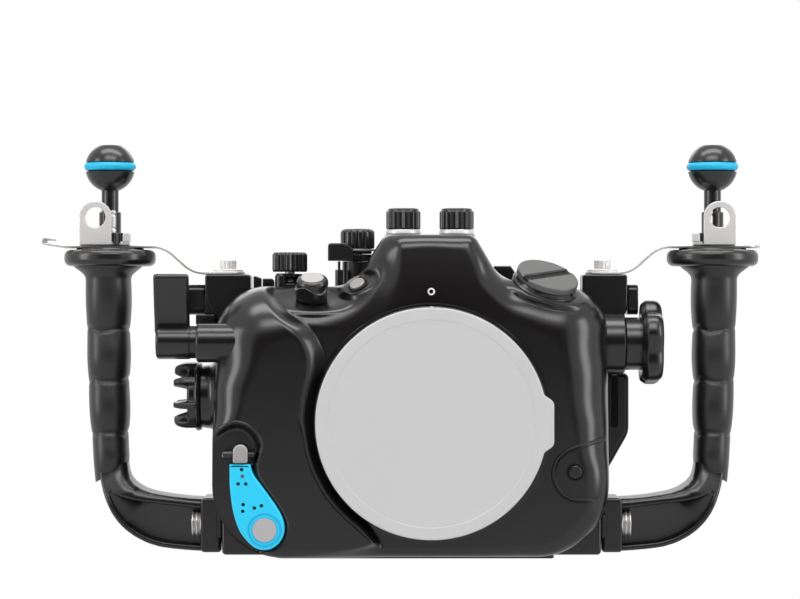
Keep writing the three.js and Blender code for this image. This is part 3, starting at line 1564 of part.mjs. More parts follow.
// A rectangle with rounded corners about a middle point.
function roundedRectangle(x, z, halfX, halfZ, radius) {
  return roundedOutline([
    [x - halfX, z - halfZ, radius],
    [x - halfX, z + halfZ, radius],
    [x + halfX, z + halfZ, radius],
    [x + halfX, z - halfZ, radius],
  ]);
}

const rearPlane = partingPlane + clearance;
const buttonFoot = backPlane + rearButtonTravel + clearance;

// Rings of the rear shell's rim, with the groove that the main seal lies in.
function rimRings(spokes) {
  const grooveFloor = rearPlane + mainSealDepth + mainSealSlack;
  const nearSide = mainSealInset;
  const farSide = mainSealInset + mainSealWidth + 2 * mainSealSlack;
  const near = [[nearSide, rearPlane], [nearSide, grooveFloor]];
  const groove = [...near, [farSide, grooveFloor], [farSide, rearPlane]];
  return [[0, rearPlane], ...groove, [wall, rearPlane]].map(([inset, depth]) => {
    return shellRing(spokes, ({ far, skew }) => far - inset * skew, () => depth);
  });
}

function rearSpokes() {
  const outline = roundedOutline(bodyCorners(rearFootRound), edgeStep);
  outline.forEach((point) => Object.assign(point, { mark: backEdge }));
  return { outline, spokes: columns(outline, new THREE.Vector2(windowX, windowZ), () => windowPilot) };
}

// The rear shell's wall: a pilot hole for the window, the rounded back, the sides and the rim.
function rearWall() {
  const { outline, spokes } = rearSpokes();
  const surface = ({ x, y }) => backPlane - edgeDrop(nearestEdge(outline, x, y));
  const innerPlane = backPlane - wall;
  const lining = (point) => Math.min(surface(point) - wall, innerPlane);
  const share = (value) => ({ near, far }) => near + (far - near) * value;
  const rim = ({ far, skew }) => far - wall * skew;
  const rings = [
    shellRing(spokes, share(0), () => innerPlane),
    ...[0, 0.8, 0.88, 0.95, 0.985].map((value) => shellRing(spokes, share(value), surface)),
    shellRing(spokes, share(1), () => backPlane - backEdge),
    ...rimRings(spokes),
    shellRing(spokes, rim, lining),
  ];
  return solid(loft(rings, false));
}

// The guard for the fingers on the right side of the rear shell.
function fingerGuard() {
  const outline = roundedOutline([
    [bodyHalf - wall, guardTop, 0],
    [guardReach, guardTop, bracketRound],
    [guardReach, (guardTop + guardFoot) / 2, footRound],
    [bodyHalf, guardFoot, 0],
    [bodyHalf - wall, guardFoot, 0],
  ]);
  return slab(outline, "Y", guardFront, guardBack);
}

// Middles of the rear buttons, each with its radius.
const rearButtons = {
  ok_button: [-okX, okZ, okRadius, okRingHeight],
  playback_button: [-playbackX, playbackZ, rearButtonRadius, 0],
  delete_button: [-deleteX, deleteZ, rearButtonRadius, 0],
  menu_button: [-menuX, menuZ, rearButtonRadius, 0],
};

function rearShell() {
  const finderAt = at(finderX, 0, finderZ);
  const okAt = at(-okX, 0, okZ);
  const opening = roundedRectangle(windowX, windowZ, windowHalfX, windowHalfZ, windowRound);
  const innerHalves = [windowHalfX - windowLedge, windowHalfZ - windowLedge];
  const inner = roundedRectangle(windowX, windowZ, ...innerHalves, windowRound);
  const shafts = Object.values(rearButtons).map(([x, z]) => {
    const hole = [rearButtonStem + clearance, rearInnerEnd - overrun, buttonFoot + overrun];
    return rod(...hole, pinSides, at(x, 0, z), toBack);
  });
  const turnedShafts = [[rearDialX, rearDialZ], [thumbX, thumbZ]].map(([x, z]) => {
    return rod(shaftBore, rearInnerEnd - overrun, buttonFoot, pinSides, at(-x, 0, z), toBack);
  });
  const raised = join(
    rearWall(),
    fingerGuard(),
    rod(finderBoss, backPlane - wall, backPlane, bossSides, finderAt, toBack),
    rod(okRing, backPlane - wall, backPlane + okRingHeight, knobSides, okAt, toBack)
  );
  const body = cut(
    raised,
    slab(opening, "Y", windowSeat, backPlane + overrun),
    slab(inner, "Y", backPlane - 2 * wall, windowSeat + overrun),
    rod(finderThroat, backPlane - 2 * wall, backPlane + overrun, knobSides, finderAt, toBack),
    ...shafts,
    ...turnedShafts
  );
  piece("rear_shell", body, looks.anodised);
  mainSeal();
  screenWindow();
  viewfinder(finderAt);
}

// The seal in the rim's groove, its front level with the rim.
function mainSeal() {
  const { spokes } = rearSpokes();
  const near = mainSealInset + mainSealSlack;
  const far = near + mainSealWidth;
  const sealBack = rearPlane + mainSealDepth;
  const places = [[near, rearPlane], [near, sealBack], [far, sealBack], [far, rearPlane]];
  const rings = places.map(([inset, depth]) => {
    return shellRing(spokes, (spoke) => spoke.far - inset * spoke.skew, () => depth);
  });
  piece("main_seal", solid(loft(rings, false)), looks.teal);
}

function screenWindow() {
  const gap = clearance;
  const lipFront = backPlane + frameThick - frameLipThick;
  const pane = roundedRectangle(windowX, windowZ, windowHalfX - gap, windowHalfZ - gap, windowRound - gap);
  piece("screen_window", slab(pane, "Y", windowSeat, lipFront - gap), looks.glass);
  const border = (inset) => {
    const radius = Math.max(windowRound - inset, frameLip);
    return roundedRectangle(windowX, windowZ, windowHalfX - inset, windowHalfZ - inset, radius);
  };
  const frame = cut(
    slab(border(-frameBorder), "Y", backPlane, backPlane + frameThick),
    slab(border(0), "Y", backPlane - overrun, lipFront),
    slab(border(frameLip), "Y", backPlane - overrun, backPlane + frameThick + overrun)
  );
  piece("screen_frame", frame, looks.anodised);
}

function viewfinder(finderAt) {
  const ring = [
    [finderThroat, backPlane],
    [finderOuter, backPlane],
    [finderOuter, finderEnd - finderEdge],
    [finderOuter - finderEdge, finderEnd],
    [finderInner + clearance, finderEnd],
    [finderInner + clearance, finderGlassFront],
    [finderThroat, finderGlassFront],
    [finderThroat, backPlane],
  ];
  piece("viewfinder_ring", turned(ring, knobSides), looks.rubber, finderAt, toBack);
  const from = finderGlassFront + clearance;
  const pane = rod(finderInner, from, from + finderGlassThick, knobSides);
  piece("viewfinder_window", pane, looks.glass, finderAt, toBack);
}

// Controls on the back: the knurled dial, the thumb lever and the push buttons.
function rearControls() {
  const foot = backPlane + clearance;
  const shape = [rearDialRadius, rearKnurl, rearKnurls, foot, foot + rearDialThick];
  const wheel = flutedKnob(...shape, bulkheadCapEdge, 2);
  const wheelShaft = rod(shaftRadius, rearInnerEnd, foot + overrun, pinSides);
  piece("rear_dial", join(wheel, wheelShaft), looks.anodised, at(-rearDialX, 0, rearDialZ), toBack);
  const arm = roundedOutline([
    [-thumbHub, -thumbHub / 2, 0],
    [thumbReach, -thumbTip, thumbTip / 2],
    [thumbReach, thumbTip, thumbTip / 2],
    [-thumbHub, thumbHub / 2, 0],
  ]).map((point) => new THREE.Vector2(point.x - thumbX, point.y + thumbZ));
  const thumbAt = at(-thumbX, 0, thumbZ);
  const hub = rod(thumbHub, foot, foot + thumbThick, knobSides, thumbAt, toBack);
  const shaft = rod(shaftRadius, rearInnerEnd, foot + overrun, pinSides, thumbAt, toBack);
  const lever = slab(arm, "Y", foot, foot + thumbThick);
  piece("thumb_lever", join(hub, shaft, lever), looks.anodised);
  Object.entries(rearButtons).forEach(([name, [x, z, radius, lift]]) => {
    const seat = buttonFoot + lift;
    const top = seat + rearButtonProud - rearButtonTravel;
    const profile = [
      [0, rearInnerEnd],
      [rearButtonStem, rearInnerEnd],
      [rearButtonStem, seat],
      [radius, seat],
      [radius, top - rearButtonEdge],
      [radius - rearButtonEdge, top],
      [0, top],
    ];
    piece(name, turned(profile, pinSides), looks.grey, at(x, 0, z), toBack);
  });
}

// Inside: the tray that the camera sits on and the leak sensor's board.
function inside() {
  const floor = bodyFloor + wall;
  const deck = floor + wall;
  const foot = box([-trayLeft, -trayFront, floor], [trayRight, partingPlane - clearance, deck]);
  const saddle = box([-trayLeft, -trayFront, deck], [trayRight, trayBack, trayTop]);
  const groove = box(
    [-trayGrooveHalf, -trayFront - overrun, trayTop - trayGrooveDepth],
    [trayGrooveHalf, trayBack + overrun, trayTop + overrun]
  );
  piece("camera_tray", cut(join(foot, saddle), groove), looks.anodised);
  const wallFace = wall - bodyHalf;
  const board = box([wallFace, -boardFront, boardBottom], [wallFace + boardThick, -boardBack, boardTop]);
  piece("leak_sensor_board", board, looks.board);
}

frontShell();
port();
basePlate();
handles();
latches();
bulkheads();
accessoryPlug();
topControls();
leftControls();
rightControls();
portLock();
frontButtons();
rearShell();
rearControls();
inside();

export default housing;
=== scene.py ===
"""Looks of an underwater camera housing: a satin black two-part shell, a capped port, two grips and ball mounts.

Lengths are in millimetres until surface() writes a mesh in metres. A corner is (a, b) or (a, b, rounding); in the
profile of a lathe it is (radius, height) or (radius, height, rounding).
"""
import math

import bmesh
import bpy
import numpy as np
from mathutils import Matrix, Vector


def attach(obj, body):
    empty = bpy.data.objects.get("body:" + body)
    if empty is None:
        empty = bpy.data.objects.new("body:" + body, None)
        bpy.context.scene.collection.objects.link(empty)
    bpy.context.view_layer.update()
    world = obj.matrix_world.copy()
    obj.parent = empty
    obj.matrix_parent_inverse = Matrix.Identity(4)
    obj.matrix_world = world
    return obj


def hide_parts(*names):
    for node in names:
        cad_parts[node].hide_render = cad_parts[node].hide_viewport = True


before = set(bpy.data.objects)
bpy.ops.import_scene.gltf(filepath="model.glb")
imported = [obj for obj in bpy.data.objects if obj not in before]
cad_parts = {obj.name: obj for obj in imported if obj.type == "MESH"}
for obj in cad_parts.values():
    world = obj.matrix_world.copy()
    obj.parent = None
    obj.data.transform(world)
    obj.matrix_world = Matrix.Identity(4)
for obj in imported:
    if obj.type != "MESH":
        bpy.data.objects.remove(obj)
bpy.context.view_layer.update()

TAU, QUARTER = 2 * math.pi, math.pi / 2
UP, TO_FRONT, TO_BACK, TO_LEFT, TO_RIGHT = (0, 0, 1), (0, -1, 0), (0, 1, 0), (-1, 0, 0), (1, 0, 0)
SIDES = (("left", -1), ("right", 1))

# Sizes shared by several pieces, as the solids have them
PORT_X, PORT_Z = 9.7, 68.0
FACE_Y, PARTING_Y, BACK_Y = -56.0, 12.0, 52.0
WALL = 6.0
SUPPORT = 0.08
OVERLAP = 6.0
GRIP_X, BALL_Z, BALL_RADIUS = 154.7, 196.9, 12.7
LENS_BUTTON = (80.9, 0, 43.8)
SHAFT_RADIUS = 2.5
POWER_AT, POWER_AXIS = (-49.5, -40.1, 129.7), (0.0, -math.sin(math.radians(25.5)), math.cos(math.radians(25.5)))
PLUG_AT, PLUG_AXIS = (66.3, -37.6, 134.6), (0.25, -0.425, 0.87)
OVAL_AT, OVAL_AXIS = (-27.2, -45, 137.1), (-0.35, -0.545, 0.76)
MODE_AT, EXPOSURE_AT = (-27.4, -14, 0), (-62, -10, 0)
SHUTTER_AT, DIAL_AT, FOCUS_AT = (0, -22, 107.5), (0, -15, 79.8), (0, -12, 106.6)


# ---- lines and outlines
def smooth(value):
    """The cubic 3t^2 - 2t^3 of a value held between 0 and 1."""
    t = np.clip(value, 0.0, 1.0)
    return t * t * (3 - 2 * t)


def cross(u, v):
    """The cross product of flat vectors: u0 v1 - u1 v0."""
    return u[..., 0] * v[..., 1] - u[..., 1] * v[..., 0]


def joined(*columns):
    """Columns of numbers, each stretched to the largest, side by side in a last axis."""
    return np.stack(np.broadcast_arrays(*columns), axis=-1)


def unit(rows):
    """Flat vectors at length 1."""
    return rows / np.maximum(np.hypot(*rows.T), 1e-9)[:, None]


def left_of(rows):
    """Flat vectors turned a quarter to the left."""
    return joined(-rows[:, 1], rows[:, 0])


def angles(count):
    """Equal steps round a full turn."""
    return np.linspace(0, TAU, count, endpoint=False)


def run_of(points):
    """The length of a broken line up to each of its points."""
    return np.concatenate([[0], np.cumsum(np.hypot(*np.diff(points[:, :2], axis=0).T))])


def drawn_at(points, places):
    """A broken line's points at given lengths along it."""
    run = run_of(points)
    return np.stack([np.interp(places, run, column) for column in points.T], axis=-1)


def evenly(outline, count):
    """A closed outline drawn again with points at equal steps of its length."""
    ring = np.vstack([outline, outline[:1]])
    return drawn_at(ring, np.linspace(0, run_of(ring)[-1], count, endpoint=False))


def eased(points, count, passes):
    """A broken line drawn evenly and averaged with its neighbours until its corners are soft; the ends stay."""
    points = np.asarray(points, float)
    line = drawn_at(points, np.linspace(0, run_of(points)[-1], count))
    for _ in range(passes):
        line[1:-1] += (line[:-2] + line[2:] - 2 * line[1:-1]) / 3
    return line


def rounded(corners, closed=False, steps=7):
    """Straight runs joined by arcs that touch both runs of a corner, with rows of a, b and 1 on the arcs.

    A point just past each arc keeps the run's shading flat.
    """
    rows, count = [], len(corners)
    for i, corner in enumerate(corners):
        here, radius, turn = np.array(corner[:2], float), (*corner, 0)[2], 0
        if radius and (closed or 0 < i < count - 1):
            u, v = (np.array(corners[k % count][:2], float) - here for k in (i - 1, i + 1))
            u, v = u / np.hypot(*u), v / np.hypot(*v)
            turn = math.pi - math.acos(np.clip(u @ v, -1, 1))
        if turn < 1e-3:
            rows.append(np.array([[*here, 0.0]]))
            continue
        centre = here + (u + v) / np.hypot(*(u + v)) * radius / math.cos(turn / 2)
        arm = here + u * radius * math.tan(turn / 2) - centre
        t = np.linspace(0, 1, max(2, round(steps * turn / QUARTER) + 1)) * turn * np.sign(cross(arm,
            here - centre))
        arc_a = centre[0] + arm[0] * np.cos(t) - arm[1] * np.sin(t)
        arc_b = centre[1] + arm[0] * np.sin(t) + arm[1] * np.cos(t)
        rows.append(joined(arc_a, arc_b, 1.0))
    made = []
    for i, row in enumerate(rows):
        made.append(row)
        if i == count - 1 and not closed:
            break
        ahead = rows[(i + 1) % count]
        run = ahead[0, :2] - row[-1, :2]
        length = np.hypot(*run)
        if length > 6 * SUPPORT:
            step = run / length * SUPPORT
            made += [np.array([[*(row[-1, :2] + step), 0]])] if len(row) > 1 else []
            made += [np.array([[*(ahead[0, :2] - step), 0]])] if len(ahead) > 1 else []
    return np.concatenate(made)


def outline_of(shape):
    """The points of a closed outline: an array as it is, or a list of corners rounded."""
    return (rounded(shape, closed=True) if isinstance(shape, list) else shape)[:, :2]


def circle(a, b, radius, count, start=0.0):
    """Points of a circle, anticlockwise."""
    angle = angles(count) + start
    return joined(a + radius * np.cos(angle), b + radius * np.sin(angle))


def rectangle(a, b, half_a, half_b, radius):
    """Corners of a rounded rectangle, anticlockwise."""
    return [(a + i * half_a, b + j * half_b, radius) for i, j in ((-1, -1), (1, -1), (1, 1), (-1, 1))]


def mirrored(corners, side):
    """Corners written for the right side, on either side."""
    return [(side * a, *rest) for a, *rest in corners]


def reach_to(outline, middle, ray):
    """How far each ray from a middle goes to a closed outline that the middle sees whole."""
    start, side = outline - middle, np.roll(outline, -1, axis=0) - outline
    across = cross(ray[:, None], side[None])
    across = np.where(np.abs(across) < 1e-12, 1e-12, across)
    reach, share = cross(start, side)[None] / across, cross(start[None], ray[:, None]) / across
    return np.where((share >= -1e-6) & (share <= 1 + 1e-6) & (reach > 0), reach, np.inf).min(axis=1)


def rays(shape, middle, count):
    """Points where rays at equal angles from a middle meet a closed outline."""
    ray = circle(0, 0, 1, count)
    return np.asarray(middle) + ray * reach_to(outline_of(shape), middle, ray)[:, None]


def inset_of(outline):
    """Unit directions from each point of a closed outline into its inside, stretched at corners."""
    ahead = np.roll(outline, -1, axis=0)
    before = left_of(unit(outline - np.roll(outline, 1, axis=0)))
    mean = unit(before + left_of(unit(ahead - outline)))
    stretch = 1 / np.maximum((mean * before).sum(-1), 0.6)
    return mean * stretch[:, None] * (1 if cross(outline, ahead).sum() > 0 else -1)


def to_line(points, line, closed=False):
    """Distance of points to a broken line, and 1 on its left or -1 on its right."""
    start = line if closed else line[:-1]
    run = (np.roll(line, -1, axis=0) if closed else line[1:]) - start
    flat = points.reshape(-1, 2)
    best, index = np.full(len(flat), np.inf), np.zeros(len(flat), int)
    for k, side in enumerate(run):
        arm = flat - start[k]
        share = np.clip((arm @ side) / max(side @ side, 1e-12), 0, 1)
        gap = np.hypot(*(arm - share[:, None] * side).T)
        best, index = np.minimum(gap, best), np.where(gap < best, k, index)
    sign = np.sign(cross(run[index], flat - start[index]))
    return best.reshape(points.shape[:-1]), sign.reshape(points.shape[:-1])


def within(points, outline):
    """Signed distance to a closed outline, negative inside it."""
    gap, flat = to_line(points, outline, closed=True)[0], points.reshape(-1, 2)
    inside = np.zeros(len(flat), bool)
    for (ax, az), (bx, bz) in zip(outline, np.roll(outline, -1, axis=0)):
        if az != bz:
            crosses = (flat[:, 1] < az) != (flat[:, 1] < bz)
            inside ^= crosses & (flat[:, 0] < ax + (flat[:, 1] - az) * (bx - ax) / (bz - az))
    return np.where(inside.reshape(gap.shape), -gap, gap)


def fan(outline, middle):
    """Rays from a middle to an outline: lengths, directions, stretch of a slanted meeting, and a maker of rings.

    ring(distance, depth) gives points at a distance along the rays, at a depth y or at one worked out from (x, z).
    """
    arm = outline - middle
    far = np.hypot(*arm.T)
    ray = arm / far[:, None]
    side = unit(np.roll(outline, -1, axis=0) - np.roll(outline, 1, axis=0))

    def ring(distance, depth):
        point = np.array(middle) + ray * distance[:, None]
        depth = np.broadcast_to(depth(point) if callable(depth) else depth, len(point))
        return joined(point[:, 0], depth, point[:, 1])

    return far, ray, 1 / np.maximum(np.abs(cross(ray, side)), 0.6), ring


# ---- meshes
def surface(name, grid, look, body="housing", stands_for=None, loop=False, edge=0.0, sharp=38):
    """A closed mesh from a grid of points [ring, place round it]: flat ends, or the last ring joined to the first.

    Doubles are merged and the faces turned outward; the piece is tied to its body and to the node it stands for.
    """
    rings, around = grid.shape[:2]
    i, j = np.arange(rings if loop else rings - 1)[:, None], np.arange(around)[None, :]
    low, up, ahead = i * around, (i + 1) % rings * around, (j + 1) % around
    quads = joined(low + j, low + ahead, up + ahead, up + j).reshape(-1, 4)
    loops, sizes = [quads.ravel()], [np.full(len(quads), 4)]
    if not loop:
        loops += [np.arange(around)[::-1], (rings - 1) * around + np.arange(around)]
        sizes += [[around], [around]]
    loops, sizes = np.concatenate(loops), np.concatenate(sizes)
    mesh = bpy.data.meshes.new(name)
    mesh.vertices.add(rings * around)
    mesh.vertices.foreach_set("co", (grid.reshape(-1) * 0.001).astype(np.float32))
    mesh.loops.add(len(loops))
    mesh.loops.foreach_set("vertex_index", loops.astype(np.int32))
    mesh.polygons.add(len(sizes))
    mesh.polygons.foreach_set("loop_start", (np.cumsum(sizes) - sizes).astype(np.int32))
    marks = np.broadcast_to(edge, (rings, around)).ravel().astype(np.float32)
    mesh.attributes.new("edge", "FLOAT", "POINT").data.foreach_set("value", marks)
    mesh.update(calc_edges=True)
    work = bmesh.new()
    work.from_mesh(mesh)
    bmesh.ops.remove_doubles(work, verts=work.verts, dist=2e-6)
    bmesh.ops.recalc_face_normals(work, faces=work.faces)
    work.to_mesh(mesh)
    work.free()
    mesh.polygons.foreach_set("use_smooth", np.ones(len(mesh.polygons), dtype=bool))
    mesh.set_sharp_from_angle(angle=math.radians(sharp))
    mesh.materials.append(look)
    piece = bpy.data.objects.new(name, mesh)
    bpy.context.scene.collection.objects.link(piece)
    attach(piece, body)
    if stands_for:
        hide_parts(stands_for)


def stood(local, axis, at):
    """Points about +Z turned the shortest way to an axis and carried to a place."""
    turn = np.array(Vector(UP).rotation_difference(Vector(axis)).to_matrix())
    return local @ turn.T + np.asarray(at, float)


def slab(name, flat, depth, look, across, **more):
    """A surface of outlines (a, b), one at each depth across X, Y or Z, or about (axis, place)."""
    points = joined(flat[..., 0], flat[..., 1], depth[:, None])
    order = {"X": [2, 0, 1], "Y": [0, 2, 1], "Z": [0, 1, 2]}
    surface(name, points[..., order[across]] if across in order else stood(points, *across), look, **more)


def spun(name, reach, height, angle, look, at=(0, 0, 0), axis=UP, **more):
    """A surface of points at a reach from an axis, a height along it and an angle round it."""
    local = joined(reach * np.cos(angle), reach * np.sin(angle), height)
    surface(name, stood(local, axis, at), look, **more)


def profile_of(corners, loop=False, steps=7):
    """Reach, height and edge mark of a lathe's profile; unless it is a loop, it starts and ends on the axis."""
    ends = [] if loop else [(0, corners[0][1]), (0, corners[-1][1])]
    profile = rounded([*ends[:1], *corners, *ends[1:]], loop, steps)
    return profile[:, :1], profile[:, 1:2], profile[:, 2:3]


def turned(name, corners, look, sides=80, loop=False, **more):
    """A lathe: the profile spun round the axis."""
    reach, height, marks = profile_of(corners, loop)
    spun(name, np.maximum(reach, 0), height, angles(sides), look, loop=loop, edge=marks, **more)


def rod(name, radius, low, high, look, rims=(0, 0), **more):
    """A plain cylinder, its two rims rounded."""
    turned(name, [(radius, low, rims[0]), (radius, high, rims[1])], look, **more)


def fluted(name, corners, look, count, depth, sides, power=1.0, fade=2.4, turn=0.0, **more):
    """A lathe whose radius dips by depth * ((1 - cos(count * angle)) / 2) ** power, fading towards the axis."""
    full, height, marks = profile_of(corners)
    angle = angles(sides)
    wave = ((1 - np.cos(count * (angle - turn))) / 2) ** power
    share = smooth((full - (full.max() - fade * depth)) / (fade * depth))
    spun(name, np.maximum(full - depth * wave * share, 0), height, angle, look, edge=marks, **more)


def ribbed(name, corners, look, count, depth, sides, **more):
    """A lathe with narrow ribs: the full radius on a rib, and less by the depth between two."""
    full, height, marks = profile_of(corners)
    angle = angles(sides)
    valley = 1 - ((1 + np.cos(count * angle)) / 2) ** 9
    reach = full - depth * valley * smooth((full - (full.max() - 0.7)) / 0.5)
    spun(name, reach, height, angle, look, edge=marks, **more)


def torus(name, centre, section, height, look, sides, flat=1.0, **more):
    """A ring: a circle of the section's radius, flattened along the axis, carried round it."""
    around = angles(20)[:, None]
    spun(name, centre + section * np.cos(around), height + flat * section * np.sin(around), angles(sides), look,
        loop=True, **more)


def plate(name, shape, low, high, edge, look, across="Y", **more):
    """A slab of an outline from low to high, its two rims rounded by quarter circles; edge is one radius or two."""
    points = outline_of(shape)
    points = points[np.hypot(*(points - np.roll(points, 1, axis=0)).T) > 1e-6]
    first, last = edge if isinstance(edge, tuple) else (edge, edge)
    rows = []
    for radius, foot, sense in ((first, low, 1), (last, high, -1)):
        rim = [(0, foot, 0)]
        if radius:
            rim = [(radius + SUPPORT, foot, 0), (0, foot + sense * (radius + SUPPORT), 0)]
            rim[1:1] = [(radius * (1 - math.sin(a)), foot + sense * radius * (1 - math.cos(a)),
                0 < a < 1.5) for a in np.linspace(0, QUARTER, 6)]
        rows += rim[::sense]
    inset, depth, marks = np.array(rows, float).T
    flat = points[None] + inset_of(points)[None] * inset[:, None, None]
    slab(name, flat, depth, look, across, edge=marks[:, None], **more)


def framed(name, outer, inner, low, high, edge, look, **more):
    """A slab with an opening: two outlines of equal count, joined over both faces, all four rims rounded."""
    t = np.linspace(0, QUARTER, 5)
    off = np.concatenate([[edge + SUPPORT], edge * (1 - np.sin(t)), [0, 0], edge * (1 - np.cos(t)),
        [edge + SUPPORT]])
    depth = np.concatenate([[low], low + edge * (1 - np.cos(t)), [low + edge + SUPPORT, high - edge - SUPPORT],
        high - edge * (1 - np.sin(t)), [high]])
    outside = outer[None] + inset_of(outer)[None] * off[:, None, None]
    inside = inner[None] - inset_of(inner)[None] * off[::-1, None, None]
    marks = np.tile((off > 0.02 * edge) & (off < 0.98 * edge), 2).astype(float)
    slab(name, np.concatenate([outside, inside]), np.concatenate([depth, depth[::-1]]), look, "Y", loop=True,
        edge=marks[:, None], **more)


# ---- materials
def wired(tree, kind, **inputs):
    """A node with its inputs set, by name or as _number: a value is written, an output socket is linked."""
    node = tree.nodes.new(kind)
    for key, value in inputs.items():
        target = node.inputs[int(key[1:]) if key[0] == "_" else key.replace("_", " ")]
        if isinstance(value, bpy.types.NodeSocket):
            tree.links.new(value, target)
        else:
            target.default_value = value
    return node


def maths(tree, operation, a, b=0.0, clamp=False):
    """The result of one Math node."""
    node = wired(tree, "ShaderNodeMath", _0=a, _1=b)
    node.operation, node.use_clamp = operation, clamp
    return node.outputs[0]


def noise(tree, place, scale, detail):
    """The strength of a Noise texture."""
    return wired(tree, "ShaderNodeTexNoise", Vector=place, Scale=scale, Detail=detail).outputs["Fac"]


def finish_group():
    """Slow colour variation, fine grain height and a worn-edge mask, from noise on object coordinates.

    Variation = noise at Patch; Height = noise at Grain plus half of one at 2.3 times its scale;
    Worn = the edge attribute times noise raised above a threshold, times Wear.
    """
    group = bpy.data.node_groups.new("surface_finish", "ShaderNodeTree")
    for name, value in (("Patch", 18.0), ("Grain", 900.0), ("Stretch", 1.0), ("Wear", 0.4)):
        group.interface.new_socket(name=name, in_out="INPUT",
            socket_type="NodeSocketFloat").default_value = value
    for name in ("Variation", "Height", "Worn"):
        group.interface.new_socket(name=name, in_out="OUTPUT", socket_type="NodeSocketFloat")
    start, end = group.nodes.new("NodeGroupInput").outputs, group.nodes.new("NodeGroupOutput").inputs
    place = group.nodes.new("ShaderNodeTexCoord").outputs["Object"]
    slow = noise(group, place, start["Patch"], 3.0)
    stretch = wired(group, "ShaderNodeCombineXYZ", X=1.0, Y=1.0, Z=start["Stretch"])
    drawn = wired(group, "ShaderNodeVectorMath", _0=place, _1=stretch.outputs[0])
    drawn.operation = "MULTIPLY"
    fine = noise(group, drawn.outputs[0], start["Grain"], 2.0)
    finer = noise(group, drawn.outputs[0], maths(group, "MULTIPLY", start["Grain"], 2.3), 1.0)
    height = maths(group, "ADD", fine, maths(group, "MULTIPLY", finer, 0.5))
    mark = group.nodes.new("ShaderNodeAttribute")
    mark.attribute_name = "edge"
    patchy = noise(group, place, 140.0, 4.0)
    above = maths(group, "MULTIPLY", maths(group, "SUBTRACT", patchy, 0.5), 5.0, clamp=True)
    worn = maths(group, "MULTIPLY", maths(group, "MULTIPLY", mark.outputs["Fac"], above), start["Wear"])
    for made, name in ((slow, "Variation"), (height, "Height"), (worn, "Worn")):
        group.links.new(made, end[name])
    return group


FINISH = finish_group()


def material(name, slot, base, rough, metal, level, grain, bump, vary, wear, worn, spread, stretch=1.0,
    glass=0.0):
    """A finish: base colour that wanders a little, roughness that follows it, fine grain and lighter worn edges."""
    look = bpy.data.materials.new(name)
    look["slot"] = slot
    look.use_nodes = True
    tree = look.node_tree
    shader = tree.nodes["Principled BSDF"].inputs
    shader["Metallic"].default_value = metal
    shader["Specular IOR Level"].default_value = level
    shader["Transmission Weight"].default_value = glass
    if glass:
        shader["IOR"].default_value = 1.3
    finish = tree.nodes.new("ShaderNodeGroup")
    finish.node_tree = FINISH
    for key, value in (("Patch", 18.0), ("Grain", grain), ("Stretch", stretch), ("Wear", wear)):
        finish.inputs[key].default_value = value
    base, worn = (colour if isinstance(colour, tuple) else (colour,) * 3 for colour in (base, worn))
    wander = maths(tree, "MULTIPLY", finish.outputs["Variation"], 2 * vary)
    tone = wired(tree, "ShaderNodeVectorMath", _0=base)
    tone.operation = "SCALE"
    tree.links.new(maths(tree, "ADD", wander, 1 - vary), tone.inputs["Scale"])
    mix = tree.nodes.new("ShaderNodeMix")
    mix.data_type = "RGBA"
    tree.links.new(finish.outputs["Worn"], mix.inputs["Factor"])
    tree.links.new(tone.outputs[0], mix.inputs[6])
    mix.inputs[7].default_value = (*worn, 1.0)
    tree.links.new(mix.outputs[2], shader["Base Color"])
    swing = maths(tree, "MULTIPLY", maths(tree, "SUBTRACT", finish.outputs["Variation"], 0.5), 2 * spread)
    tree.links.new(maths(tree, "ADD", swing, rough, clamp=True), shader["Roughness"])
    bumped = wired(tree, "ShaderNodeBump", Strength=bump, Distance=0.0002, Height=finish.outputs["Height"])
    tree.links.new(bumped.outputs[0], shader["Normal"])
    return look


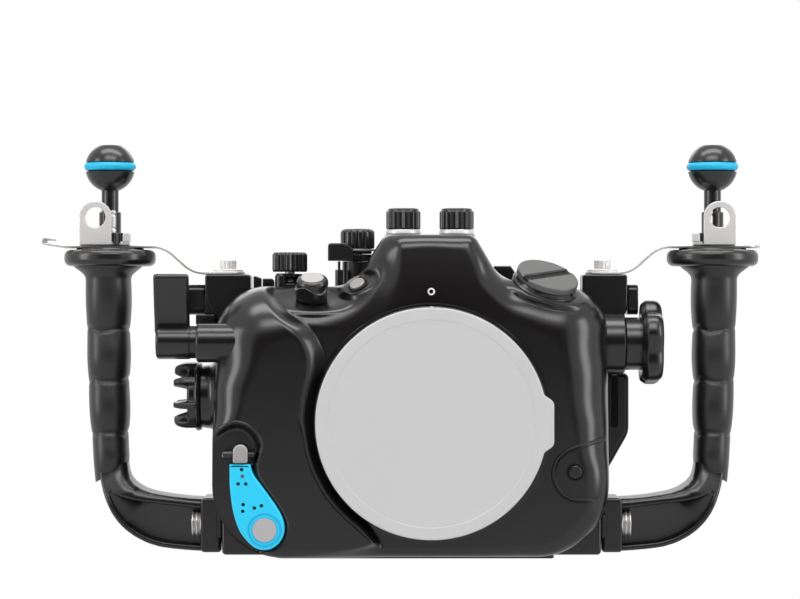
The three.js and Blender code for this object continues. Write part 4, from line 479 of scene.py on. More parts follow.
# Name, slot, base colour, roughness, metal, specular level, grain, bump, variation, wear, worn colour, spread
# of the roughness; then the grain's stretch and the glass
(ANODISED, MACHINED, HANDLE, RUBBER, STEEL, PIN_WEAR_AND_GLINTS, BRIGHT, GREY, PAWL, PLUG_GREY, DISC, CAP, TEAL, TEAL_PAINTED_SHADE,
    TEAL_RUBBER, WHITE, PAINTED_SHADE, BOARD, WINDOW) = (material(*row) for row in [
    ("black_anodised", "anodised", (0.0085, 0.0075, 0.0080), 0.22, 0, 0.45, 1500, 0.06, 0.2, 0.1, 0.05, 0.04),
    ("black_machined", "anodised", (0.0080, 0.0075, 0.0078), 0.25, 0, 0.5, 1800, 0.05, 0.2, 0.22, 0.09, 0.04),
    ("black_coated_arm", "handle_metal", (0.0085, 0.008, 0.0085), 0.26, 0, 0.5, 700, 0.1, 0.25, 0.15, 0.06,
        0.05),
    ("black_grip_rubber", "grip_rubber", (0.0095, 0.009, 0.009), 0.4, 0, 0.5, 1100, 0.16, 0.25, 0.05, 0.03,
        0.08),
    ("bright_steel", "steel", (0.55, 0.54, 0.52), 0.34, 0.6, 0.5, 420, 0.03, 0.04, 0.5, (0.7, 0.69, 0.67), 0.05,
        0.06),
    # the pin's lighter rims are partly wear and partly painted glints
    ("dark_steel_pin", "steel", 0.03, 0.3, 0.6, 0.5, 900, 0.03, 0.1, 0.9, 0.5, 0.05),
    ("satin_steel_fitting", "steel", (0.66, 0.645, 0.635), 0.42, 0.35, 0.5, 900, 0.04, 0.04, 0.4,
        (0.85, 0.84, 0.83), 0.05),
    ("grey_anodised", "grey_metal", (0.30, 0.285, 0.28), 0.38, 0.35, 0.5, 1600, 0.05, 0.08, 0.4,
        (0.5, 0.49, 0.48), 0.1),
    ("light_grey_pawl", "grey_metal", (0.36, 0.34, 0.335), 0.4, 0.2, 0.5, 1600, 0.05, 0.06, 0.6,
        (0.6, 0.59, 0.58), 0.1),
    ("dull_grey_plug", "grey_metal", (0.10, 0.098, 0.096), 0.45, 0.4, 0.5, 1600, 0.05, 0.08, 0.4,
        (0.3, 0.29, 0.28), 0.1),
    ("pale_disc", "grey_metal", (0.44, 0.42, 0.42), 0.5, 0, 0.5, 900, 0.05, 0.05, 0.2, 0.18, 0.1),
    ("grey_cap_plastic", "cap_plastic", 0.57, 0.55, 0, 0.35, 1300, 0.1, 0.02, 0.15, 0.65, 0.05),
    ("teal_lever", "teal_plastic", (0.022, 0.60, 0.90), 0.4, 0, 0.4, 1500, 0.06, 0.05, 0.35, (0.12, 0.75, 0.95),
        0.1),
    # painted shade: a darker copy of the lever's teal for its groove and disc rim
    ("teal_groove", "teal_plastic", (0.012, 0.42, 0.70), 0.45, 0, 0.35, 1500, 0.06, 0.05, 0.1, (0.05, 0.5, 0.8),
        0.1),
    ("teal_ring_rubber", "teal_rubber", (0.012, 0.46, 0.74), 0.5, 0, 0.4, 900, 0.1, 0.06, 0, 0.18, 0.1),
    ("white_mark", "cap_plastic", 0.8, 0.5, 0, 0.5, 900, 0.03, 0.03, 0, 0.18, 0.1),
    # painted shade: a near-black matt colour for gaps, wells, slots, dimples, the eyepiece's hollow and the right pawl
    # ear, where shade falls
    ("dark_hollow", "anodised", 0.004, 0.6, 0, 0.2, 900, 0.1, 0.25, 0, 0.18, 0.1),
    ("green_board", "board", (0.02, 0.16, 0.06), 0.4, 0, 0.5, 500, 0.2, 0.3, 0, 0.18, 0.1),
    ("clear_window", "window_glass", (0.8, 0.86, 0.87), 0.04, 0, 0.5, 900, 0.01, 0.02, 0, 0.18, 0.02, 1, 1),
])


# ---- front shell
# How deep the face edge is rounded at places of the outline (x, z, depth)
EDGE_DEPTHS = np.array([(-98.6, 18, 5), (-98.6, 38, 5), (-98.6, 56, 6), (-98.6, 78, 18), (-98.6, 105, 26),
    (-88, 133, 33), (-70, 135.8, 31), (-52, 135.8, 25), (-36, 136, 21), (-26, 142, 13), (-19, 153, 9),
    (-10, 161, 7), (9, 161.7, 6.5), (28, 161, 7), (35, 152, 8), (42, 141, 13), (55, 138, 23), (75, 135, 27),
    (90, 131, 30), (98.6, 112, 28), (98.6, 85, 24), (98.6, 60, 20), (98.6, 38, 14), (88, 10, 9), (60, 1.4, 6),
    (30, 1.4, 5), (0, 1.4, 5), (-30, 1.4, 5), (-60, 1.4, 4), (-86, 10, 3.5)])


def body_outline(foot, valley=12):
    """The housing's outline seen from the front: points (x, z) of eight sides and rounded corners."""
    corners = [(-98.6, 1.4, foot), (-98.6, 135.8, 26), (-30, 135.8, valley), (-13.5, 161.7, 6), (31, 161.7, 6),
        (44.5, 138.6, valley), (98.6, 133.6, 22), (98.6, 1.4, foot)]
    return rounded(corners, closed=True, steps=16)[:, :2]


def arc_line(radius, start, end):
    """Points of an arc about the port's axis, in degrees."""
    angle = np.radians(np.linspace(start, end, 40))
    return joined(PORT_X + radius * np.cos(angle), PORT_Z + radius * np.sin(angle))


GROOVE, GROOVE_LIP, BORE = 58.2, 0.7, 56.0
HAND_RISE = 7.0
# Foot and shoulder of the step between the hand side and the port's face, from the deck down to the floor
FOOT_LINE = eased(np.vstack([[(-70.5, 142), (-69.3, 132.5), (-66.6, 127.5), (-61.8, 123), (-53, 117.7), (-46.9,
    110.8), (-43.6, 103.2), (-42.9, 95)], arc_line(GROOVE, 154, 237), [(-18.4, 13.2), (-14.7, 6.7), (-12.6, 2),
    (-11, -8)]]), 260, 12)
SHOULDER_LINE = eased(np.vstack([[(-75, 142), (-73, 132.3), (-70, 126.5), (-64.9, 120.2), (-58.6, 115.2),
    (-52.8, 108.6), (-49.9, 100.3), (-50.3, 90), (-52.6, 79.4), (-53.6, 68.5)], arc_line(61.7, 184, 233),
    [(-21.2, 12.6), (-16.6, 7.4), (-14.2, 1.8), (-13, -8)]]), 260, 12)
VALLEY_LINE = eased([(-64, 125.5), (-60.8, 121.8), (-51.9, 117.3), (-40.4, 114.9), (-32.2, 114.6), (-23.9, 117),
    (-15.7, 121), (-5, 127.5)], 80, 8)
OUTLINE = body_outline(36, valley=20)
EDGE_POINTS = evenly(OUTLINE, 720)


def soft_step(value, blend):
    """0 below zero and the value itself above it, with a hyperbola's rounding between."""
    return (value + np.hypot(value, blend)) / 2


def front_face(points):
    """Depth y of the front over (x, z): flat at the port, 7 mm up on the hand side, leaning back over the deck.

    The step goes as 7 sin(pi u / 2), u the share of the way from its foot line past its shoulder line.
    """
    x, z = points[..., 0], points[..., 1]
    lines = FOOT_LINE, SHOULDER_LINE, VALLEY_LINE
    past_foot, past_shoulder, past_valley = (np.prod(to_line(points, line), axis=0) for line in lines)
    width = np.maximum(past_shoulder - past_foot, 2.2 + 26.0 * smooth((9.5 - z) / 9.0))
    u = np.clip(soft_step(-past_foot, 0.2) / (1.55 * width), 0, 1)
    fade = smooth((x + 66) / 6) * smooth((-4 - x) / 10)
    lean = 0.16 * soft_step(past_valley, 0.6) * fade * (1 - u) + 0.22 * soft_step(z - 132, 12.0)
    return FACE_Y - HAND_RISE * np.sin(QUARTER * u) + lean


SOFT = 0.9817


def edge_drop(points, edge=EDGE_POINTS, depth=None):
    """How far the face falls back near the outline: a circle's arc of the edge's depth.

    The distance is soft: (sum of step / d ** 8 over the outline / SOFT) ** (-1 / 7). Beside a straight side, where
    the sum is SOFT / d ** 7, that is d, and it stays smooth at the middle of a round corner. The edge's depth is a
    mean of the given depths, by nearness.
    """
    flat = points.reshape(-1, 2)
    squared = ((flat[:, None] - edge[None]) ** 2).sum(-1)
    close = squared.argmin(1)
    nearest = np.sqrt(squared.min(1))
    for start, end in ((edge[close - 1], edge[close]), (edge[close], edge[(close + 1) % len(edge)])):
        run = end - start
        share = np.clip(((flat - start) * run).sum(1) / (run ** 2).sum(1), 0, 1)
        nearest = np.minimum(nearest, np.hypot(*(flat - start - run * share[:, None]).T))
    soft = ((squared.clip(0.05) ** -4).sum(1) * np.hypot(*(edge[1] - edge[0])) / SOFT) ** (-1 / 7)
    gap = nearest + (soft - nearest) * smooth((nearest - 1.2) / 5.0)
    if depth is None:
        weight = (((flat[:, None] - EDGE_DEPTHS[None, :, :2]) ** 2).sum(-1) + 120.0) ** -2.0
        depth = (weight * EDGE_DEPTHS[:, 2]).sum(1) / weight.sum(1)
    left = np.clip(depth - gap, 0, depth)
    return (depth - np.sqrt(np.maximum(depth ** 2 - left ** 2, 0))).reshape(points.shape[:-1])


def seat(points, depth, at, axis, radius, blend, level):
    """Draws the face to a plane across a knob's axis, all the way within the radius and fading over the blend."""
    x, z = points[..., 0] - at[0], points[..., 1] - at[2]
    rise = -(x * axis[0] + z * axis[2] - level) / axis[1]
    arm = joined(x, rise, z)
    reach = np.linalg.norm(arm - (arm @ np.array(axis))[..., None] * np.array(axis), axis=-1)
    return depth + (at[1] + rise - depth) * smooth((radius + blend - reach) / blend)


LEVER = [(-89.65, 48), (-79.4, 48), (-78.9, 45.15), (-77.8, 42.55), (-74.3, 38.1), (-70.8, 33.3), (-67.3, 28.5),
    (-64.6, 24.1), (-62.9, 20.1), (-62.4, 16.2), (-63.1, 12.25), (-65.5, 8.7), (-69, 6.3), (-72.5, 5.6),
    (-76.9, 6.5), (-80.9, 10), (-84.4, 14.4), (-86.6, 19.7), (-88.1, 25.4), (-89, 31.5), (-89.65, 38.6)]
POCKET = eased([(-108, 59), (-100.3, 61.9), (-96.8, 64.9), (-91.9, 67.8), (-86.5, 69.1), (-81.6, 67.8),
    (-77.7, 65), (-74.9, 61.2), (-73.4, 56.1), (-74.9, 50.8), (-76, 46.5), (-75.6, 42.4), (-73.4, 39),
    (-69.5, 33.6), (-66, 28.8), (-63.3, 24.4), (-61.4, 20.1), (-60.9, 16.2), (-61.6, 12), (-63.8, 8),
    (-67, 5.2), (-71, 3.6), (-74, 1), (-75, -8)], 300, 5)
POCKET_AREA = np.vstack([POCKET, [(-130, -8), (-130, 59)]])
POCKET_Y = -57.6


def whole_face(points):
    """Depth of the front with its rounded edges and the seats of the plug, the power knob and the oval button."""
    depth = front_face(points) + edge_drop(points)
    for knob in ((PLUG_AT, PLUG_AXIS, 14.5, 12.0, 1.8), (POWER_AT, POWER_AXIS, 7.5, 15.0, -0.4),
        (OVAL_AT, OVAL_AXIS, 4.6, 8.0, -0.9)):
        depth = seat(points, depth, *knob)
    return depth


def front_surface(points):
    """The face, lowered to the pocket's floor where the lever lies."""
    plain = whole_face(points)
    return plain + (np.maximum(plain, POCKET_Y) - plain) * smooth((-0.3 - within(points, POCKET_AREA)) / 3.4)


def front_shell():
    """The front skin: rings from the port bore out over the face, round the edge, back to the rim and inside."""
    outline = evenly(OUTLINE, 820)
    far, ray, skew, ring = fan(outline, (PORT_X, PORT_Z))
    bore, groove, full = np.full(len(far), BORE), np.full(len(far), GROOVE), far - OVERLAP * skew
    lip = groove + GROOVE_LIP
    at_lip = front_surface(ring(lip, 0)[:, ::2])
    edge_y = whole_face(outline)
    inside = lambda point: np.maximum(whole_face(point) + WALL, FACE_Y + WALL)
    towards_edge = np.sin(np.linspace(0, QUARTER, 27))[1:-1]
    shares = np.concatenate([np.linspace(0, 0.84, 70)[1:], 0.84 + 0.16 * towards_edge])
    parts = [
        (0, [ring(bore, FACE_Y + WALL), ring(bore, FACE_Y), ring(groove, FACE_Y)]),
        (1, [ring(groove + GROOVE_LIP * (1 - math.cos(a)), np.minimum(at_lip + GROOVE_LIP * (1 - math.sin(a)),
            FACE_Y)) for a in np.linspace(0, QUARTER, 5)]),
        (0, [ring(lip + (far - lip) * share, front_surface) for share in shares]),
        (0, [ring(far, edge_y + (PARTING_Y - 0.5 - edge_y) * share) for share in np.linspace(0, 1, 5)]),
        (1, [ring(far - 0.5, PARTING_Y)]),
        (0, [ring(full, PARTING_Y), *(ring(full + (bore - full) * share, inside) for share in np.linspace(0, 1,
            9))])]
    marks = np.concatenate([np.full((len(rings), 1), float(mark)) for mark, rings in parts])
    surface("front_skin", np.stack([ring for _, rings in parts for ring in rings]), ANODISED,
        stands_for="front_shell", loop=True, edge=marks, sharp=55)


def bead(name, line, section):
    """A low bead on the face: a section of (offset to the left, height, mark) carried along a line."""
    aside = left_of(unit(np.gradient(line, axis=0)))
    rows = [(line + aside * offset, height) for offset, height, _ in section]
    grid = np.stack([joined(point[:, 0], whole_face(point) - height, point[:, 1]) for point, height in rows],
        axis=1)
    surface(name, grid, ANODISED, edge=np.array(section, float)[None, :, 2], sharp=60)


front_shell()
lip_line = eased(POCKET, 620, 2)
bead("pocket_lip", lip_line[(lip_line[:, 0] > -96.5) & (lip_line[:, 1] > 9.0)], [(-0.75, -0.5, 0),
    (-0.45, 0.22, 1), (0, 0.42, 1), (0.45, 0.22, 1), (0.75, -0.5, 0), (0.5, -1.2, 0), (0, -1.2, 0),
    (-0.5, -1.2, 0)])

# Corner blocks behind the round lower corners, with the keys of the side brackets
for name, side in SIDES:
    plate(f"{name}_corner_block", mirrored([(94.8, 1.4, 2), (94.8, 31.4), (66.6, 31.4), (66.6, 1.4)], side),
        -41, 11.9, (1.6, 0.2), ANODISED)
    # A near-black plate a little larger than each key paints the shade in the gap round it.
    plate(f"{name}_key_gap_painted_shade", rectangle(side * 97.4, 14.2, 1.3, 6.0, 0.6), -22.1, -12, 0.02, PAINTED_SHADE)
    plate(f"{name}_key", rectangle(side * 97.4, 14.2, 0.95, 5.6, 0.5), -22.4, -12, 0.25, MACHINED)

# Shoulder posts
left_post = [(-105.3, 141.9, 1.5), (-82, 141.9, 1.5), (-82, 116), (-92.6, 116), (-99.8, 118.4, 2),
    (-104.2, 127, 12), (-105.3, 134, 8)]
plate("left_post", rounded(left_post, closed=True, steps=10), -11, 11, 1.0, ANODISED)
plate("right_post", [(87.2, 141.9, 1.5), (110.2, 141.9, 1.5), (110.2, 124, 3), (107.2, 118.5, 3), (106.4, 112),
    (87.2, 112)], -11, 11, 1.0, ANODISED)
plate("latch_rest", rectangle(-100.2, 123.6, 5.2, 7.4, 0.5), -10.2, 8, 0.3, MACHINED)
plate("latch_toe", rectangle(-104.7, 118.9, 4.7, 2.5, 0.6), -19, -10, 0.4, MACHINED)

# Bosses of the side controls; the shutter's reaches forward into the shoulder
nose = np.vstack([circle(-48.3, 107.5, 9.7, 64, QUARTER)[:33], circle(-22, 107.5, 9.7, 64, -QUARTER)[:33]])
plate("shutter_boss", nose, -107.0, -84.0, (1.4, 0), ANODISED, across="X")
turned("dial_boss", [(18.6, 90), (18.6, 98.9), (16.4, 101.5, 4), (15.6, 107.2, 1.2), (3.4, 107.2, 0.3),
    (3.4, 104)], ANODISED, at=DIAL_AT, axis=TO_LEFT)
turned("focus_boss", [(15.6, 90), (15.6, 108.5, 1), (3.4, 108.5, 0.3), (3.4, 104)], ANODISED, at=FOCUS_AT,
    axis=TO_RIGHT)

# Posts and stops on the deck
rod("mode_post", 7.8, 126, 148.4, MACHINED, (0, 0.4), at=MODE_AT)
for name, at, corners in (
        ("exposure_turret", EXPOSURE_AT, [(7.4, 130), (7.4, 137, 0.6), (5, 138, 0.8), (4.6, 139.8, 0.3),
            (6.4, 140.6, 0.3), (6.4, 142.2, 0.4)]),
        ("deck_stub", (-66.2, -15, 0), [(3.2, 130), (3.2, 141, 0.4), (2.4, 142.4, 0.4)]),
        ("deck_peg", (-54.4, -16, 0), [(3.6, 130), (3.6, 138.6, 0.4), (2.6, 139.4, 0.2), (3.6, 140.2, 0.3),
            (3.6, 141.4, 0.4)]),
        ("drive_pin", (-36.6, -23.3, 0), [(2, 130), (2, 144, 0.5), (0.7, 144.4, 0.2), (0.7, 148.4)])):
    turned(name, corners, MACHINED, at=at)
plate("deck_stop", [(-80.4, 130), (-76.4, 130), (-76.4, 140, 0.5), (-80.4, 141.4, 0.8)], -14, -6, 0.5, MACHINED)
plate("deck_tab", [(-75.8, 130), (-69.8, 130), (-69.8, 138.6, 1.6), (-71, 139.8, 0.8), (-75.8, 139.8, 0.8)],
    -14, -6, 0.6, MACHINED)
plate("shoe_block", [(41.4, 134), (53.5, 134), (53.5, 143, 0.5), (51, 146.4, 0.8), (42.5, 146.4, 0.8)], 0, 9,
    0.7, MACHINED)
# Painted shade: a near-black ring round the oval button.
turned("oval_well_painted_shade", [(5, -6), (5, -0.35, 0.3), (4.4, -0.35, 0.3), (4.4, -1.6)], PAINTED_SHADE, at=OVAL_AT,
    axis=OVAL_AXIS, sides=64)
turned("oval_scoop", [(4.7, -4), (7.5, -4), (7.5, -0.3, 0.35), (6.8, -0.55, 0.3), (5, -1, 0.2), (4.7, -1)],
    MACHINED, at=OVAL_AT, axis=OVAL_AXIS, sides=96, loop=True)
turned("plug_boss", [(16.8, -13), (16.8, 2.4, 0.5), (15.6, 3, 0.3), (15, 4.5, 0.3), (11.4, 4.5, 0.2),
    (11.4, 0)], ANODISED, at=PLUG_AT, axis=PLUG_AXIS, sides=128)

# What holds the pawl's pin on both sides of the pawl; the right one is painted in the near-black shade colour, as if
# in shadow.
for name, near, far, look in (("left", -93.0, -88.4, MACHINED), ("right", -80.4, -77.4, PAINTED_SHADE)):
    rod(f"{name}_pawl_ear", 2.0, near, far, look, (0.5, 0.2), at=(0, -61.2, 52.6), axis=TO_RIGHT, sides=48)
# The pin's lighter rims are partly wear and partly painted glints.
rod("pin_of_pawl", 1.4, 77.6, 93.4, PIN_WEAR_AND_GLINTS, (0.3, 0.5), at=(0, -62, 52.6), axis=TO_LEFT, sides=32,
    stands_for="pawl_pin")

# Index mark above the port: a white ring
torus("index_ring", 1.45, 0.4, 0.0, WHITE, 40, 0.3, at=(9.7, -55.9, 133), axis=(0, -0.99, 0.12))

# The double line round the release button's pad: a raised bead between two fine grooves, along an arc to the side
pad_line = eased([(96.43, 60.73), (92.22, 59.25), (86.77, 57.91), (81.97, 56.67), (75.83, 54.2), (71.72, 50.14),
    (69.74, 45.44), (69.65, 40.73), (71.43, 35.78), (74.65, 31.82), (78.85, 29.55), (83.8, 29.05),
    (88.95, 29.15), (93.21, 29.45)], 260, 14)
bead("pad_ridge", pad_line, [(-0.75, -0.5, 0), (-0.6, 0.45, 1), (-0.2, 0.95, 1), (0.5, 0.75, 0), (1.2, 0.95, 1),
    (1.6, 0.45, 1), (1.75, -0.5, 0), (1.3, -1.2, 0), (0.5, -1.2, 0), (-0.4, -1.2, 0)])
# Painted shade: a near-black ring round the release button.
turned("release_well_painted_shade", [(4.4, 50), (4.4, 56.6, 0.3), (3.5, 56.6, 0.3), (3.5, 51.5)], PAINTED_SHADE, at=LENS_BUTTON,
    axis=TO_FRONT, sides=64)

# ---- port
turned("bayonet_ring", [(50, 48), (55.7, 48), (55.7, 50.6), (52.7, 50.6), (52.7, 54), (55.7, 54), (55.7, 56.3),
    (57.8, 56.3), (57.8, 62, 0.5), (50, 62)], MACHINED, at=(PORT_X, 0, PORT_Z), axis=TO_FRONT, sides=320,
    loop=True, stands_for="port_ring")


def port_cap():
    """The cap: a flat disc with a low step near its edge and a tab that reaches over the ring on the right side."""
    full, height, marks = profile_of([(46.2, 61.7), (46.2, 51), (49.7, 51, 0.5), (49.7, 62.3),
        (57.2, 62.3, 0.3), (57.2, 65.7, 0.9), (51.4, 65.7, 0.25), (50.9, 65.45, 0.25)], steps=5)
    tab = rounded([(-1, -14.2), (55.4, -14.2), (60.3, -10.7, 3.2), (60.3, 10.7, 3.2), (55.4, 14.2), (-1, 14.2)],
        closed=True, steps=8)
    turn = circle(0, 0, 1, 480)
    reach = full + smooth((full - 55.5) / 1.7) * np.maximum(reach_to(tab[:, :2], (0, 0), turn) - 57.2, 0)
    grid = joined(PORT_X + reach * turn[:, 0], -height, PORT_Z + reach * turn[:, 1])
    surface("cap_of_port", grid, CAP, body="cap", stands_for="port_cap", edge=marks, sharp=30)


port_cap()
torus("cap_mark", 1.5, 0.22, 0.0, CAP, 40, 0.5, at=(9.8, -65.5, 124), axis=TO_FRONT, body="cap")

# ---- base and arms
plate("foot_plate", [(-67, -45, 2), (71, -45, 2), (71, 8, 2), (-67, 8, 2)], 0, 3, (0.6, 0.1), ANODISED,
    across="Z", stands_for="base_plate")
for x in (-59, 63):
    for y in (-37, 0):
        turned(f"foot_screw_{x + 99}_{y + 99}", [(1.2, 0.9), (3.4, 0.9), (3.4, 0.2, 0.3), (1.6, 0.2, 0.3)],
            STEEL, at=(x, y, 0), sides=24, loop=True)

# The arm's outer and inner lines from the bracket up into the grip and the channel's upper edge, for the right side
ARM_OUTER = [(105, 1.5), (112, 1.9), (120, 2.6), (127.4, 3.6), (134, 5.6), (140.1, 8.7), (145, 12.2),
    (149, 16.3), (152, 20.6), (154.3, 25.2), (156.2, 29.9), (157.6, 34.6), (158.6, 39), (159.2, 44)]
ARM_INNER = [(105, 28), (112, 28.3), (120.6, 29.2), (127, 30.2), (132.1, 31.2), (137, 33), (141, 35.6),
    (143.4, 38.6), (144.4, 42), (144.9, 46)]
CHANNEL_TOP = [(105, 22.6), (112, 23.3), (123.6, 24.7), (136.3, 26.2), (142, 27.2), (147.7, 29), (152, 31.2),
    (156.6, 34.4)]


def arm(side, name):
    """The arm: rings across it from bracket to grip, each a closed section with a channel that narrows to a tip.

    Across a ring d runs from the outer line to the inner one; the front lies at y = -20 with a rounded rim, drops to
    the channel's hollow floor up to the channel's edge, and comes back as a broad rounded band.
    """
    outer, inner, edge = (eased(line, 132, 6) for line in (ARM_OUTER, ARM_INNER, CHANNEL_TOP))
    width = np.hypot(*(inner - outer).T)
    across = unit(inner - outer)
    on_ring = np.argmin(np.abs(cross(edge[:, None] - outer[None], across[None])), axis=0)
    reach = ((edge[on_ring] - outer) * across).sum(-1)
    t = np.linspace(0, 1, len(outer))
    for _ in range(4):
        reach[1:-1] = (reach[:-2] + reach[1:-1] + reach[2:]) / 3
    opening = smooth((reach - 3.2) / 3.0) * smooth((0.86 - t) / 0.05)
    reach = np.maximum(reach, 4.6)
    rise = smooth((t - 0.70) / 0.30)
    front, back = 6.2 * rise - 20.0, 16.0 - 2.6 * rise
    drop = np.clip(0.62 * (reach - 3.2), 0.3, 8.0) * opening
    bend = np.minimum(7.0, width - reach - 1.6)
    quarter = [(1 - np.cos(a), 1 - np.sin(a)) for a in np.linspace(0, QUARTER, 6)]
    rows = [(3.0 * a, back - 3.0 * b, 1) for a, b in quarter[::-1]] + [(1.3 * a, front + 1.3 * b, 1) for a,
        b in quarter]
    rows += [(1.38, front, 0), (2.1, front, 0), (2.5, front + 0.25 * opening, 1), (2.75, front + 0.9 * opening,
        0)]
    rows += [(3.1 + (reach - 3.1) * share, front + drop * (1 - 0.45 * share ** 2.5),
        0) for share in np.linspace(0, 1, 12)]
    rows += [(reach + 0.25, front + drop * 0.14, 0), (reach + 0.6, front + drop * 0.05, 1), (reach + 1.2, front,
        1), (width - bend - 0.05, front, 0)]
    rows += [(width - bend * (1 - np.sin(a)), front + 0.9 * bend * (1 - np.cos(a)), 0) for a in np.linspace(0,
        QUARTER, 12)]
    rows += [(width - 6.0 * a, back - 14.0 * b, 0) for a, b in quarter]
    away, depth = (np.stack([row[k] + 0 * width for row in rows], axis=1) for k in (0, 1))
    flat = outer[:, None] + across[:, None] * away[..., None]
    marks = np.array([row[2] for row in rows], float)[None, :]
    surface(f"arm_{name}", joined(side * flat[..., 0], depth, flat[..., 1]), HANDLE,
        stands_for=f"{name}_handle_arm", edge=marks, sharp=46)


def power_of(wave, power):
    """A sine's or cosine's size raised to a power, its sign kept."""
    return np.sign(wave) * np.abs(wave) ** power


def grip_surface(side, name):
    """A rubber grip: superellipse sections with finger swells between three creases and a flare under the cap.

    |x / hx|^2.5 + |y / hy|^2.5 = 1; swells are fullest low in each finger place, and creases dip as exp(-(dz / 1.2)^2)
    with a slow wave round the grip. The foot slants down to the outer side.
    """
    z = np.linspace(38.0, 146.8, 240)[:, None]
    levels = [37, 44, 52, 65, 80, 96, 126, 142, 147]
    outer = np.interp(z, levels, [161.8, 162.2, 163.0, 164.3, 165.2, 165.8, 166.6, 166.9, 167.0])
    inner = np.interp(z, levels, [145.2, 145.4, 145.4, 145.0, 144.9, 144.7, 144.2, 144.3, 144.5])
    creases = [35.0, 61.0, 87.8, 114.0, 150.0]
    angle = angles(144)
    cos, sin = np.cos(angle), np.sin(angle)
    swell = sum(np.sin(math.pi * np.clip((z - low) / (high - low), 0,
        1) ** 0.8) ** 1.2 * ((z >= low) & (z < high)) for low, high in zip(creases, creases[1:]))
    dip = sum(np.exp(-((z - crease - 0.9 * np.sin(3 * angle + 1.7 * i) - 0.5 * np.sin(5 * angle + i))
        / 1.2) ** 2) for i, crease in enumerate(creases[1:4]))
    flare = 6.5 * smooth((z - 137.5) / 9.5) ** 2.2
    front, inside = np.clip(-sin, 0, 1), np.clip(-side * cos, 0, 1)
    lift = (swell - 0.4) * (0.3 + 2.4 * front ** 1.5 + 0.7 * inside)
    cut = dip * (0.25 + 0.45 * np.maximum(front, inside))
    half_x = (outer - inner) / 2 + lift * 0.75 - cut * 0.8 + flare
    half_y = np.interp(z, [37, 52, 147], [13.4, 14.8, 16.2]) + lift - cut + flare * 0.7
    across = half_x * power_of(cos, 0.8)
    up = z - 0.55 * side * across * smooth((56 - z) / 18) + 2.0 * smooth((50 - z) / 12)
    grid = joined(side * (outer + inner) / 2 + across, half_y * power_of(sin, 0.8), up)
    surface(f"grip_{name}", grid, RUBBER, stands_for=f"{name}_grip", edge=dip * 0.4, sharp=60)


def strap(side, name, corners):
    """The bent steel strap: a flat oval section 20 mm wide carried along the path, its free ends rounded in plan.

    The path is the strap's underside; the thickness of 1.5 mm goes to its upper side.
    """
    path = rounded(mirrored(corners, side), steps=16)[:, :2]
    ease = np.linspace(0, 1, 220)
    length = run_of(path)[-1]
    places = length * (ease + smooth(ease)) / 2
    path = drawn_at(path, places)
    for _ in range(3):
        path[1:-1] += (path[:-2] + path[2:] - 2 * path[1:-1]) / 4
    normal = -side * left_of(unit(np.gradient(path, axis=0)))
    curled = len(corners) > 4
    end = length - places if curled else np.minimum(places, length - places)
    width = 10 * np.sqrt(1 - (1 - np.clip(end / 7.0, 0.02, 1)) ** 2)
    thin = np.interp(places, [0, 8, 16], [0.5, 0.55, 0.75] if curled else [0.75] * 3)[:, None]
    across = power_of(np.cos(angles(28)), 0.12)[None, :]
    thick = thin * power_of(np.sin(angles(28)), 0.25)[None, :]
    y = across * 10.0 + np.sign(across) * (width[:, None] - 10.0) * (np.abs(across) > 0.5)
    middle = path + normal * thin
    grid = joined(middle[:, :1] + normal[:, :1] * thick, y, middle[:, 1:] + normal[:, 1:] * thick)
    surface(f"strap_{name}", grid, STEEL, stands_for=f"{name}_strap", sharp=50)


